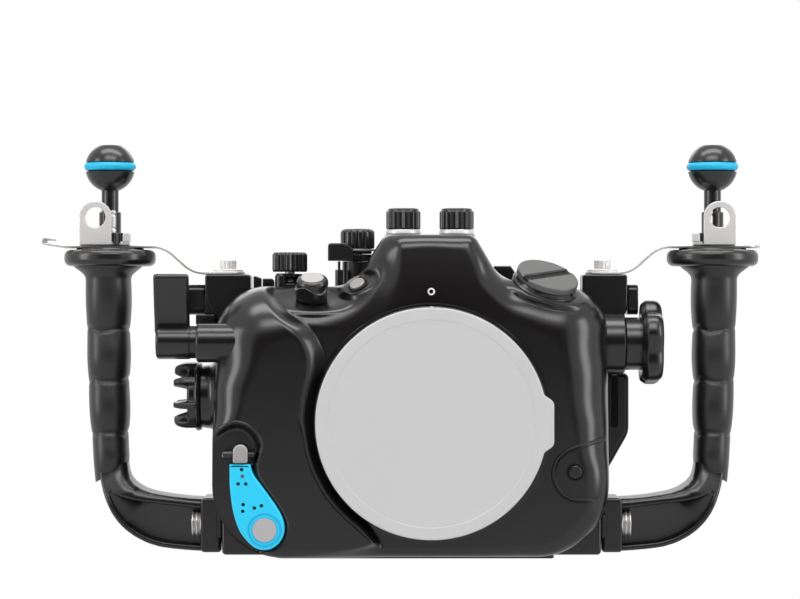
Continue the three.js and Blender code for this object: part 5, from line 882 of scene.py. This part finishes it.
def handle(side, name, bolt_x, lug_x, strap_corners):
    """Everything from the side bracket up to the ball: bracket, arm, grip, cap, strap, lug, clamp and ball."""
    plate(f"bracket_{name}", mirrored([(96.3, 1, 1.6), (107, 1, 2.2), (107, 28.6, 2.6), (96.3, 28.6, 1.6)],
        side), -22, 11, 1.6, ANODISED, stands_for=f"{name}_side_bracket")
    arm(side, name)
    bolt = [(3, 98), (3, 105.8), (6.6, 105.8, 0.4), (6.6, 106.9, 0.3), (5.7, 107.7, 0.1), (6.6, 108.5, 0.3),
        (6.6, 109), (5.7, 109.8, 0.1), (6.6, 110.6, 0.3), (6.6, 111.4, 0.4)]
    turned(f"arm_screw_{name}", bolt, STEEL, at=(0, -14.9, 14.9), axis=(side, 0, 0),
        stands_for=f"{name}_arm_bolt", sides=64)
    grip_surface(side, name)
    place = (side * GRIP_X, 0, 0)
    turned(f"grip_cap_{name}", [(23.4, 146.2, 3.4), (23.4, 154.5, 3.2), (17.4, 154.5, 0.4), (17, 155.5, 0.4)],
        HANDLE, at=place, sides=160, stands_for=f"{name}_handle_cap")
    strap(side, name, strap_corners)
    turned(f"strap_washer_{name}", [(2.5, 136), (2.5, 143.4), (7.7, 143.4, 0.2), (7.7, 144.5, 0.4)], BRIGHT,
        at=(side * bolt_x, 0, 0), sides=64, stands_for=f"{name}_strap_bolt")
    fluted(f"strap_screw_{name}", [(4, 144.3, 0.2), (4.15, 145.6, 0.3), (4.15, 149.5, 0.6), (2.2, 149.5, 0.2),
        (2.2, 146.9)], BRIGHT, 12, 0.3, 144, power=2.0, at=(side * bolt_x, 0, 0), fade=5.0)
    x = side * lug_x
    shape = rounded([(x - 8.2, 157.0), (x + 8.2, 157.0), (x + 8.2, 179.2, 7.9), (x - 8.2, 179.2, 7.9)],
        closed=True, steps=12)
    framed(f"lug_{name}", rays(shape, (x, 171.0), 160), circle(x, 171.0, 5.2, 160), -13, -11, 0.4, BRIGHT,
        stands_for=f"{name}_lug")
    plate(f"lug_foot_{name}", [(x - 7.9, -11.2, 0.3), (x + 7.9, -11.2, 0.3), (x + 7.9, 8, 2), (x - 7.9, 8, 2)],
        157, 159, 0.3, BRIGHT, across="Z")
    arc = np.linspace(-math.acos(4.35 / BALL_RADIUS), math.acos(5.7 / BALL_RADIUS), 48)
    radius = np.where(np.abs(BALL_RADIUS * np.sin(arc) - 0.4) < 2.3, 10.4, BALL_RADIUS)
    ball = [(3, 150), (3, 159), (7.3, 159, 0.3), (7.3, 161.2, 0.6), (5.6, 161.2, 0.6), (5.6, 174, 0.5),
        (4.35, 174, 0.3), *zip(radius * np.cos(arc), BALL_Z + BALL_RADIUS * np.sin(arc))]
    turned(f"ball_{name}", ball, MACHINED, at=place, sides=112, stands_for=f"{name}_ball_mount", sharp=44)
    torus(f"ball_band_{name}", 11.1, 2.15, 197.3, TEAL_RUBBER, 112, at=place, stands_for=f"{name}_ball_ring")
    fluted(f"clamp_{name}", [(3.2, 157, 0.4), (3.3, 158, 0.3), (3.3, 163.2, 0.6)], MACHINED, 14, 0.35, 168,
        at=(side * 150.3, -9.4, 0))
    screw = [(1.6, 163), (1.6, 164.4, 0.3), (1, 165.4, 0.2), (1.45, 166.2, 0.3), (1.45, 171.6, 0.4),
        (1, 172.4, 0.2), (1.5, 173.2, 0.2), (1.5, 174.6, 0.5)]
    turned(f"clamp_screw_{name}", screw, BRIGHT, at=(side * 152.4, -9.4, 0), sides=40)
    plate(f"clamp_nut_{name}", mirrored([(143.4, 158.5, 0.5), (147.1, 158.5, 0.5), (147.1, 163.2, 0.8),
        (143.4, 163.2, 0.8)], side), -12.4, -6.4, 0.5, BRIGHT)
    plate(f"clamp_bar_{name}", mirrored([(143.8, 157, 0.3), (153, 157, 0.3), (153, 158.6, 0.4), (143.8, 158.6,
        0.4)], side), -12.0, -6.8, 0.3, BRIGHT)


handle(-1, "left", 94.0, 161.0, [(183.4, 160.1), (188.6, 160.9, 1.7), (189.3, 157.2, 1.7), (178.5, 155.5, 14),
    (127, 155.5, 16), (111.9, 141.9, 16), (85.4, 141.9)])
handle(1, "right", 98.1, 157.2, [(178.8, 155.5), (127, 155.5, 16), (111.9, 141.9, 16), (89.5, 141.9)])

# ---- latches and bulkheads
for name, side, face, far in (("left", -1, 105.3, 114.4), ("right", 1, 110.4, 116.2)):
    near = face + 0.3
    latch = dict(axis=(side, 0, 0), at=(0, 6, 129), body=f"{name}_latch")
    block = [(-5.6, 121.3, 3.5), (22, 121.3, 5), (22, 136.7, 5), (-5.6, 136.7, 3.5)]
    plate(f"latch_block_{name}", block, *sorted((side * near, side * far)), 0.8, MACHINED, across="X",
        body=f"{name}_latch", stands_for=f"{name}_latch")
    rod(f"latch_shaft_{name}", SHAFT_RADIUS, face - 7.7, near + 1, STEEL, (0.3, 0), sides=32, **latch)
    rod(f"latch_pivot_{name}", 3.4, near + 1, far + 0.5, STEEL, (0, 0.4), sides=48, **latch)

for name, x in (("left", -4.1), ("right", 23.0)):
    place = (x, -15, 0)
    turned(f"bulkhead_base_{name}", [(3, 158), (9.2, 158), (9.2, 161.9, 0.3), (3, 161.9)], MACHINED, at=place,
        loop=True)
    turned(f"bulkhead_ring_{name}", [(3, 152.7), (6.8, 152.7), (6.8, 161.9), (8.7, 161.9, 0.3),
        (8.9, 162.8, 0.4), (8.5, 164.6, 0.6), (3, 164.6)], BRIGHT, at=place, loop=True, sides=96,
        stands_for=f"{name}_bulkhead")
    ribbed(f"screw_cap_{name}", [(8.1, 164.4, 0.3), (8.7, 165.4, 0.3), (8.7, 173.6, 0.5), (7.9, 174.2, 0.5),
        (7.7, 175.4, 0.8)], MACHINED, 12, 0.5, 312, at=place, body=f"{name}_screw_cap",
        stands_for=f"{name}_bulkhead_cap")
    rod(f"screw_cap_plug_{name}", 2.7, 159.8, 166, MACHINED, at=place, body=f"{name}_screw_cap", sides=32)

# ---- slotted plug
turned("plug_base", [(11, -3), (11, 4.8), (15.6, 4.8, 0.5), (15.7, 6.3)], PLUG_GREY, sides=128, at=PLUG_AT,
    axis=PLUG_AXIS, body="plug", stands_for="accessory_plug")
slot = math.radians(43)
slot_turn = np.array([[math.cos(slot), math.sin(slot)], [-math.sin(slot), math.cos(slot)]])
rim = circle(0, 0, 15.7, 144)
rim = np.vstack([rim[rim[:, 1] > 2.0], [(-15.57, 2), (15.57, 2)]])
floor = outline_of(rectangle(0, 0, 15.3, 2.1, 0))
# The slot's floor is a near-black plate just under the top: painted shade in the slot.
for name, shape, low, high, edge, look in (("half_near", -rim, 6.2, 8.1, (0, 0.7), PLUG_GREY), ("half_far", rim,
    6.2, 8.1, (0, 0.7), PLUG_GREY), ("slot_painted_shade", floor, 6.0, 7.45, 0.0, PAINTED_SHADE)):
    plate(f"plug_{name}", shape @ slot_turn, low, high, edge, look, across=(PLUG_AXIS, PLUG_AT), body="plug")


# ---- knobs on top
def power_knob():
    """The power knob: three soft lobes, and a ledge that runs low on the lobes and high between them.

    Angles count from the lobe 31 degrees right of the front; wave = (1 - cos 3a) / 2 is 0 on a lobe and 1 between two.
    """
    full, height, marks = profile_of([(8.3, 0, 0.7), (8.9, 6.6, 0.5), (8, 7.2, 0.3), (7.7, 11.3, 2.2)], steps=9)
    angle = angles(192)
    wave = (1 - np.cos(3 * (angle + math.radians(59)))) / 2
    reach = full - 1.1 * wave ** 1.2 * smooth((full - 5.0) / 3.0) * smooth((8.6 - height) / 3.0)
    ledge = 3.2 * (0.42 - wave) * smooth((height - 1.5) / 4) * smooth((9.6 - height) / 2.2)
    power = dict(at=POWER_AT, axis=POWER_AXIS, body="power_knob")
    spun("power_knob_body", reach, height - ledge, angle, MACHINED, stands_for="power_knob", edge=marks,
        sharp=40, **power)
    rod("power_knob_disc", 5.6, 11.0, 11.5, DISC, (0, 0.2), **power)
    rod("power_knob_shaft", SHAFT_RADIUS, -10, 1, STEEL, sides=32, **power)


power_knob()
fluted("exposure_knob_body", [(8.5, 143.2, 0.3), (8.9, 144.2, 0.5), (8.9, 152, 0.9), (7.9, 153.1, 0.6)],
    MACHINED, 22, 0.75, 352, power=0.8, at=EXPOSURE_AT, body="exposure_knob", stands_for="exposure_knob")
rod("exposure_shaft", SHAFT_RADIUS, 121.7, 144, STEEL, at=EXPOSURE_AT, sides=32, body="exposure_knob")
MODE = dict(at=MODE_AT, body="mode_knob")
fluted("mode_knob_body", [(8.4, 155, 0.4), (8.65, 156, 0.5), (8.65, 164.9, 2.4), (6.4, 165)], MACHINED, 14, 0.8,
    336, power=5.0, fade=4.5, stands_for="mode_knob", **MODE)
rod("mode_knob_skirt", 7.2, 152.3, 155.2, MACHINED, (0.3, 0), **MODE)
turned("mode_knob_washer", [(6.8, 153.7), (9.3, 153.7), (9.3, 154.7, 0.3), (6.8, 154.7)], GREY, loop=True,
    sides=96, **MODE)
rod("mode_shaft", SHAFT_RADIUS, 126, 153, STEEL, sides=32, **MODE)

DRIVE = dict(look=MACHINED, body="drive_lever")
rod("drive_hub", 8.2, 148.6, 152, rims=(0.4, 0.5), at=MODE_AT, stands_for="drive_lever", **DRIVE)
plate("drive_arm", [(-41, -26.8, 0.8), (-31, -26.8, 0.8), (-23.2, -18, 2), (-24, -13), (-37, -14, 1)], 148.7,
    151.9, 0.5, across="Z", **DRIVE)
plate("drive_tab", [(-42.2, 148.6, 0.5), (-29.4, 148.6, 0.5), (-29.4, 154.6, 0.6), (-33, 157.6, 2.4),
    (-42.2, 157.6, 1.6)], -27, -23, (0.6, 0.3), **DRIVE)
plate("drive_tab_face", [(-42, 148.8, 0.5), (-32.6, 148.8, 0.5), (-32.6, 157.4, 1.6), (-42, 157.4, 1.6)],
    -27.25, -26.4, 0.5, **DRIVE)

OVAL = dict(at=OVAL_AT, axis=OVAL_AXIS, body="front_button")
rod("front_button_head", 3.9, -2.2, 0.5, GREY, (0, 0.5), stands_for="front_button", sides=64, **OVAL)
rod("front_button_stem", 1.8, -9, -2, STEEL, sides=32, **OVAL)
rod("release_button_head", 3.2, 46, 58.0, MACHINED, (0, 0.7), at=LENS_BUTTON, axis=TO_FRONT,
    body="release_button", stands_for="lens_release_button", sides=64)

# ---- controls on the left and right sides
SHUTTER = dict(at=SHUTTER_AT, axis=TO_LEFT, body="shutter_lever")
rod("shutter_hub", 8.6, 111.9, 129.1, MACHINED, (0.5, 1.6), stands_for="shutter_lever", **SHUTTER)
rod("shutter_collar", 8.2, 107.4, 112.3, MACHINED, (0.4, 0.2), **SHUTTER)
rod("shutter_shaft", SHAFT_RADIUS, 86.6, 108, STEEL, sides=32, **SHUTTER)
blade = outline_of([(-22, 111.5, 1.6), (-17.5, 111.5, 1.6), (-28.6, 142, 1.8), (-33, 142, 1.8),
    (-29.6, 130, 30), (-24.2, 117, 30)])
plate("shutter_paddle", blade[::-1], -130.0, -112.2, 1.5, MACHINED, across="X", body="shutter_lever")

DIAL = dict(at=DIAL_AT, axis=TO_LEFT, body="main_dial")
turned("dial_flange", [(16.9, 106.6, 0.5), (17.5, 108.4, 0.6), (16.6, 109.6, 0.5)], MACHINED,
    stands_for="main_dial", sides=128, **DIAL)


def dial_wheel():
    """The dial's star: eight fins stand up from a thin web; between them the reach and the height dip.

    A fin's share is 1 within 1.1 mm of its middle line and falls to 0 by a cubic over the next 1.7 mm at the rim.
    """
    angle = angles(720)
    fins = np.radians([76, 31, -15, -59, -121, -165, 149, 104]) - QUARTER
    away = np.abs((angle[:, None] - fins[None, :] + math.pi) % TAU - math.pi).min(1)
    fin = smooth((2.6 - 17.0 * away) / 1.5)[None, :]
    share = np.concatenate([np.full(3, 1.0), 1 - np.linspace(0, 1, 60) ** 1.5])[:, None]
    rise = np.concatenate([[0, 0.4, 0.8], np.full(60, 1.0)])[:, None]
    radius = 15.2 + 2.4 * fin
    reach = share * radius
    crown = np.sqrt(np.clip(1 - np.clip((reach - radius + 3.2) / 3.2, 0, 1) ** 2, 0, 1))
    top = 112.0 + 1.4 * crown + fin * (1.0 + 5.6 * crown) * smooth((reach - 8.5) / 4.0)
    marks = (fin * (1 - fin) * 4) * smooth((share - 0.2) / 0.2)
    spun("dial_wheel", reach, 109.0 + (top - 109.0) * rise, angle, MACHINED, sharp=60, edge=marks, **DIAL)


dial_wheel()
rod("dial_shaft", SHAFT_RADIUS, 86.6, 108, STEEL, sides=32, **DIAL)

FOCUS = dict(at=FOCUS_AT, axis=TO_RIGHT, body="focus_knob")
fluted("focus_wheel", [(20, 116.6, 2), (22.2, 119.4, 2), (22.2, 127.3, 4.4), (16, 127.4)], MACHINED, 5, 3.6,
    320, power=1.6, fade=3.0, turn=math.radians(-115), stands_for="focus_knob", **FOCUS)
rod("focus_collar", 13.4, 108.8, 117, MACHINED, (0.4, 0), **FOCUS)
rod("focus_shaft", SHAFT_RADIUS, 86.6, 110, STEEL, sides=32, **FOCUS)


# ---- port lock
def softened(points):
    """A closed outline drawn evenly and averaged with its neighbours, except near its first two corners."""
    ring = evenly(np.asarray(points, float), 240)
    near = np.minimum(np.hypot(*(ring - points[0]).T), np.hypot(*(ring - points[1]).T))
    free = 1 - np.exp(-(near / 2.0) ** 2)[:, None]
    for _ in range(18):
        ring = ring + free * (np.roll(ring, 1, 0) + np.roll(ring, -1, 0) - 2 * ring) / 4
    return ring[::-1]


plate("lock_lever_blade", softened(LEVER), -64.8, -58.8, (1.1, 0.3), TEAL, body="lock_lever",
    stands_for="port_lock_lever")
LOCK = dict(at=(-72.4, 0, 15.7), axis=TO_FRONT, body="lock_lever")
rod("lock_shaft", 3, 52.8, 59, STEEL, sides=32, **LOCK)
# The groove and the disc's rim are a darker teal: painted shade.
turned("lock_groove", [(7.3, 64.5), (8.5, 64.5), (8.5, 64.82, 0.1), (7.9, 64.9, 0.1), (7.3, 64.82, 0.1)],
    TEAL_PAINTED_SHADE, sides=96, loop=True, **LOCK)
turned("lock_disc_rim", [(5.6, 64.6), (6.5, 64.6), (6.5, 64.95, 0.15), (5.6, 65, 0.1)], TEAL_PAINTED_SHADE, sides=96,
    loop=True, **LOCK)
rod("lock_disc", 5.9, 64.6, 65.1, DISC, (0, 0.2), sides=64, **LOCK)
DIMPLES = [(-83.64, 45.49), (-85.39, 38.47), (-81.58, 38.47), (-82.89, 28.25), (-83.07, 25.01), (-77.41, 26.63),
    (-73.9, 27.73), (-83.29, 42.11)]
# Each dimple is a near-black disc on the lever: painted shade in the dimple.
for number, (x, z) in enumerate(DIMPLES):
    rod(f"lock_dimple_shade_{number}", 0.88, 64.5, 64.86, PAINTED_SHADE, (0, 0.05), at=(x, 0, z), axis=TO_FRONT,
        body="lock_lever", sides=24)
rod("lock_mark", 0.75, 64.5, 64.9, PLUG_GREY, (0, 0.05), at=(-83.3, 0, 42.1), axis=TO_FRONT, body="lock_lever",
    sides=24)
plate("pawl_body", [(-88, 48.6, 0.9), (-80.8, 48.6, 0.9), (-80.8, 57.7, 3.5), (-88, 57.7, 3.5)], -65.0, -60.0,
    (0.9, 0.4), PAWL, body="lock_pawl", stands_for="port_lock_pawl")
plate("pawl_facet", [(-86.6, 49.4, 0.5), (-82.4, 49.4, 0.5), (-82.4, 56, 2), (-86.6, 56, 2)], -65.3, -64.8,
    0.25, PAWL, body="lock_pawl")

# ---- rear housing
REAR_OUTLINE = body_outline(8)
REAR_EDGE = evenly(REAR_OUTLINE, 720)
SCREEN = (6, 67)
REAR = "rear_housing"


def rear_shell():
    """The rear skin: rings from the window opening out over the back, round the edge, to the rim and inside."""
    far, ray, skew, ring = fan(evenly(REAR_OUTLINE, 560), SCREEN)
    inner, outer = (reach_to(outline_of(rectangle(0, 0, a, b, 6)), (0, 0), ray) for a, b in ((40, 28),
        (43, 31)))
    rim = far - OVERLAP * skew
    back = lambda point: BACK_Y - edge_drop(point, REAR_EDGE, 10.0)
    lining = lambda point: np.minimum(back(point) - WALL, BACK_Y - WALL)
    shares = np.concatenate([np.linspace(0.03, 0.7, 16), 0.7 + 0.3 * np.sin(np.linspace(0, QUARTER, 30))[1:-1]])
    groove = [(1.8, 12.3), (1.8, 14.4), (4.4, 14.4), (4.4, 12.3), (6, 12.3)]
    rings = [ring(inner, BACK_Y - WALL), ring(inner, 47.0), ring(outer, 47.0), ring(outer, BACK_Y - 0.4),
        ring(outer + 0.4, BACK_Y)]
    rings += [ring(outer + (far - outer) * share, back) for share in shares]
    rings += [ring(far, y) for y in np.linspace(BACK_Y - 10, 12.8, 6)] + [ring(far - 0.5, 12.3)]
    rings += [ring(far - inset * skew, depth) for inset, depth in groove]
    rings += [ring(rim + (inner - rim) * share, lining) for share in np.linspace(0, 1, 12)[:-1]]
    surface("rear_skin", np.stack(rings), ANODISED, body=REAR, stands_for="rear_shell", loop=True, sharp=50)


def behind(x, z, body=REAR):
    """Where a piece of the back stands."""
    return dict(at=(x, 0, z), axis=TO_BACK, body=body)


rear_shell()
guard = rounded([(92.6, 91), (113, 91, 3), (113, 60, 12), (103, 42.5, 10), (98.6, 38), (92.6, 38)], closed=True,
    steps=10)
plate("finger_guard", guard, 15.5, 34, 2.2, ANODISED, body=REAR)
slot_at = (105.4, 76.2)
slot_hole = rectangle(*slot_at, 1.7, 13.3, 1.6)
framed("guard_slot_rim", rays(rectangle(*slot_at, 2.4, 14.0, 2.3), slot_at, 160), rays(slot_hole, slot_at, 160),
    15.1, 16.5, 0.25, MACHINED, body=REAR)
# A near-black plate in the slot paints its shade.
plate("guard_slot_painted_shade", slot_hole, 15.35, 16.5, 0.0, PAINTED_SHADE, body=REAR)
FINDER = behind(9.7, 137)
rod("finder_boss", 18.4, 46, 52.6, ANODISED, (0, 0.8), **FINDER)
turned("finder_eyepiece", [(10.7, 52.5), (16.2, 52.5), (16.2, 60, 0.6), (17, 61, 0.6), (17, 75, 1.6),
    (12.9, 75, 1), (12.9, 66), (10.7, 66)], RUBBER, loop=True, stands_for="viewfinder_ring", **FINDER)
rod("finder_glass", 12.6, 66.3, 70.3, WINDOW, (0.2, 0.3), stands_for="viewfinder_window", **FINDER)
# A near-black disc inside the eyepiece paints the shade of its hollow.
rod("finder_painted_shade", 10.6, 52.6, 53.2, PAINTED_SHADE, **FINDER)
plate("screen_pane", rectangle(*SCREEN, 42.7, 30.7, 5.7), 47.0, 54.0, 0.5, WINDOW, body=REAR,
    stands_for="screen_window")
outer, inner, middle = (rays(rounded(rectangle(*SCREEN, *size), closed=True, steps=12), SCREEN,
    240) for size in ((49, 37, 10), (40.6, 28.6, 3.6), (42.9, 30.9, 6)))
framed("screen_bezel", outer, inner, 54.4, 56.0, 0.7, MACHINED, body=REAR, stands_for="screen_frame")
framed("screen_bezel_wall", outer, middle, 52.0, 55.2, 0.2, MACHINED, body=REAR)
for number, (x, z) in enumerate([(-39, 100), (6, 101), (51, 100), (-39, 34), (6, 33), (51, 34)]):
    turned(f"bezel_screw_{number}", [(1.9, 55.6), (1.9, 56, 0.2), (1, 56, 0.1), (1, 55.7)], STEEL, sides=32,
        **behind(x, z))

rear_dial, thumb = behind(-70, 112, "rear_dial"), behind(-82, 92, "thumb_lever")
fluted("rear_dial_body", [(10.6, 52.3, 0.4), (11, 54, 0.5), (11, 60.2, 0.9), (10, 61.3, 0.5)], MACHINED, 28,
    0.7, 336, power=0.8, stands_for="rear_dial", **rear_dial)
rod("rear_dial_shaft", SHAFT_RADIUS, 43, 53, STEEL, sides=32, **rear_dial)
rod("thumb_hub", 5.0, 52.3, 57.8, MACHINED, (0.4, 0.8), stands_for="thumb_lever", **thumb)
plate("thumb_blade", [(-87, 89.5, 1.5), (-65, 87.6, 2.2), (-65, 96.4, 2.2), (-87, 94.5, 1.5)], 52.4, 57.2, 1.2,
    MACHINED, body="thumb_lever")
rod("thumb_shaft", SHAFT_RADIUS, 43, 53, STEEL, sides=32, **thumb)
turned("ok_bezel", [(6.4, 48), (12, 48), (12, 54, 1), (6.4, 54, 0.6)], MACHINED, loop=True, **behind(-70, 68))
for name, x, z, radius, foot in (("ok", -70, 68, 5.4, 56.1), ("playback", -80, 41, 4.2, 54.1), ("delete", -61,
    41, 4.2, 54.1), ("menu", -53, 118, 4.2, 54.1)):
    turned(f"{name}_button_head", [(2, 43), (2, foot), (radius, foot, 0.2), (radius, foot + 2.7, 0.7)], GREY,
        sides=64, stands_for=f"{name}_button", **behind(x, z, f"{name}_button"))
    if name != "ok":
        turned(f"{name}_bezel", [(4.6, 51), (6, 51), (6, 52.9, 0.5), (4.6, 52.9, 0.3)], MACHINED, loop=True,
            sides=64, **behind(x, z))

# ---- inner pieces keep their own meshes
for node, look, slot in (("port_seal", RUBBER, "grip_rubber"), ("main_seal", TEAL_RUBBER, "teal_rubber"),
    ("exposure_gear", STEEL, "steel"), ("idler_gear", STEEL, "steel"), ("camera_tray", ANODISED, "anodised"),
    ("leak_sensor_board", BOARD, "board")):
    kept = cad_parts[node]
    kept.data.materials.clear()
    kept.data.materials.append(look)


# ---- floor, light and camera
def plainly_seen(tree):
    """1 for camera, glossy and transmission rays, and 0 for all others."""
    path = tree.nodes.new("ShaderNodeLightPath").outputs
    seen = maths(tree, "ADD", path["Is Camera Ray"], path["Is Glossy Ray"], clamp=True)
    return maths(tree, "ADD", seen, path["Is Transmission Ray"], clamp=True)


def stage_plane(name, size, location, rotation, colour, white_when_seen):
    """A flat matt stage piece: the floor, which is plain white where it is seen, or a card beside the lens."""
    look = bpy.data.materials.new(name)
    look.use_nodes = True
    tree = look.node_tree
    tree.nodes.clear()
    shown = wired(tree, "ShaderNodeBsdfDiffuse", Color=(colour, colour, colour, 1)).outputs[0]
    if white_when_seen:
        plain = wired(tree, "ShaderNodeEmission", Color=(1, 1, 1, 1), Strength=1.0)
        shown = wired(tree, "ShaderNodeMixShader", Fac=plainly_seen(tree), _1=shown,
            _2=plain.outputs[0]).outputs[0]
    wired(tree, "ShaderNodeOutputMaterial", Surface=shown)
    bpy.ops.mesh.primitive_plane_add(size=1, location=location, rotation=rotation)
    made = bpy.context.object
    made.name, made.scale = name, (*size, 1)
    made.data.materials.append(look)
    return made


def floor_and_world():
    """A pale matt floor and a pale world, both plain white where they are seen, and a black card behind the camera.

    The card keeps the flat black faces dark, as a studio's flag does, and doesn't show itself.
    """
    stage_plane("floor", (6, 6), (0, 1, -0.0005), (0, 0, 0), 0.8, True)
    card = stage_plane("black_card", (2.6, 2), (0, -2.3, 0.35), (QUARTER, 0, 0), 0.004, False)
    card.visible_camera = False
    world = bpy.data.worlds.new("studio")
    bpy.context.scene.world = world
    world.use_nodes = True
    tree = world.node_tree
    tree.nodes.clear()
    strength = maths(tree, "ADD", maths(tree, "MULTIPLY", plainly_seen(tree), 0.9), 0.1)
    glow = wired(tree, "ShaderNodeBackground", Color=(1, 1, 1, 1), Strength=strength)
    wired(tree, "ShaderNodeOutputWorld", Surface=glow.outputs[0])


def lamp(name, place, aim, width, height, power):
    """A soft rectangular lamp that looks at a point."""
    data = bpy.data.lights.new(name, "AREA")
    data.shape, data.size, data.size_y, data.energy = "RECTANGLE", width, height, power
    made = bpy.data.objects.new(name, data)
    made.location = place
    made.rotation_euler = (Vector(aim) - Vector(place)).to_track_quat("-Z", "Y").to_euler()
    bpy.context.scene.collection.objects.link(made)


floor_and_world()
lamp("top_box", (0, -0.12, 1.1), (0, -0.02, 0.1), 1.3, 0.34, 9.5)
lamp("front_box", (0, -0.95, 1.15), (0, 0, 0.08), 1.1, 0.40, 8.3)
lamp("left_box", (-1.05, -0.45, 0.35), (0, 0, 0.09), 0.36, 0.9, 5.4)
lamp("right_box", (1.05, -0.45, 0.35), (0, 0, 0.09), 0.36, 0.9, 5.4)
lamp("back_box", (0, 1.1, 0.75), (0, 0, 0.1), 1.4, 0.5, 4.0)

camera_data = bpy.data.cameras.new("photo_camera")
camera_data.sensor_width, camera_data.lens = 36.0, 131.4
camera = bpy.data.objects.new("photo_camera", camera_data)
camera.location = (-0.0058, -1.5, 0.1291)
camera.rotation_euler = (math.radians(90), 0, 0)
bpy.context.scene.collection.objects.link(camera)
bpy.context.scene.camera = camera
bpy.context.scene.view_settings.view_transform = "Standard"
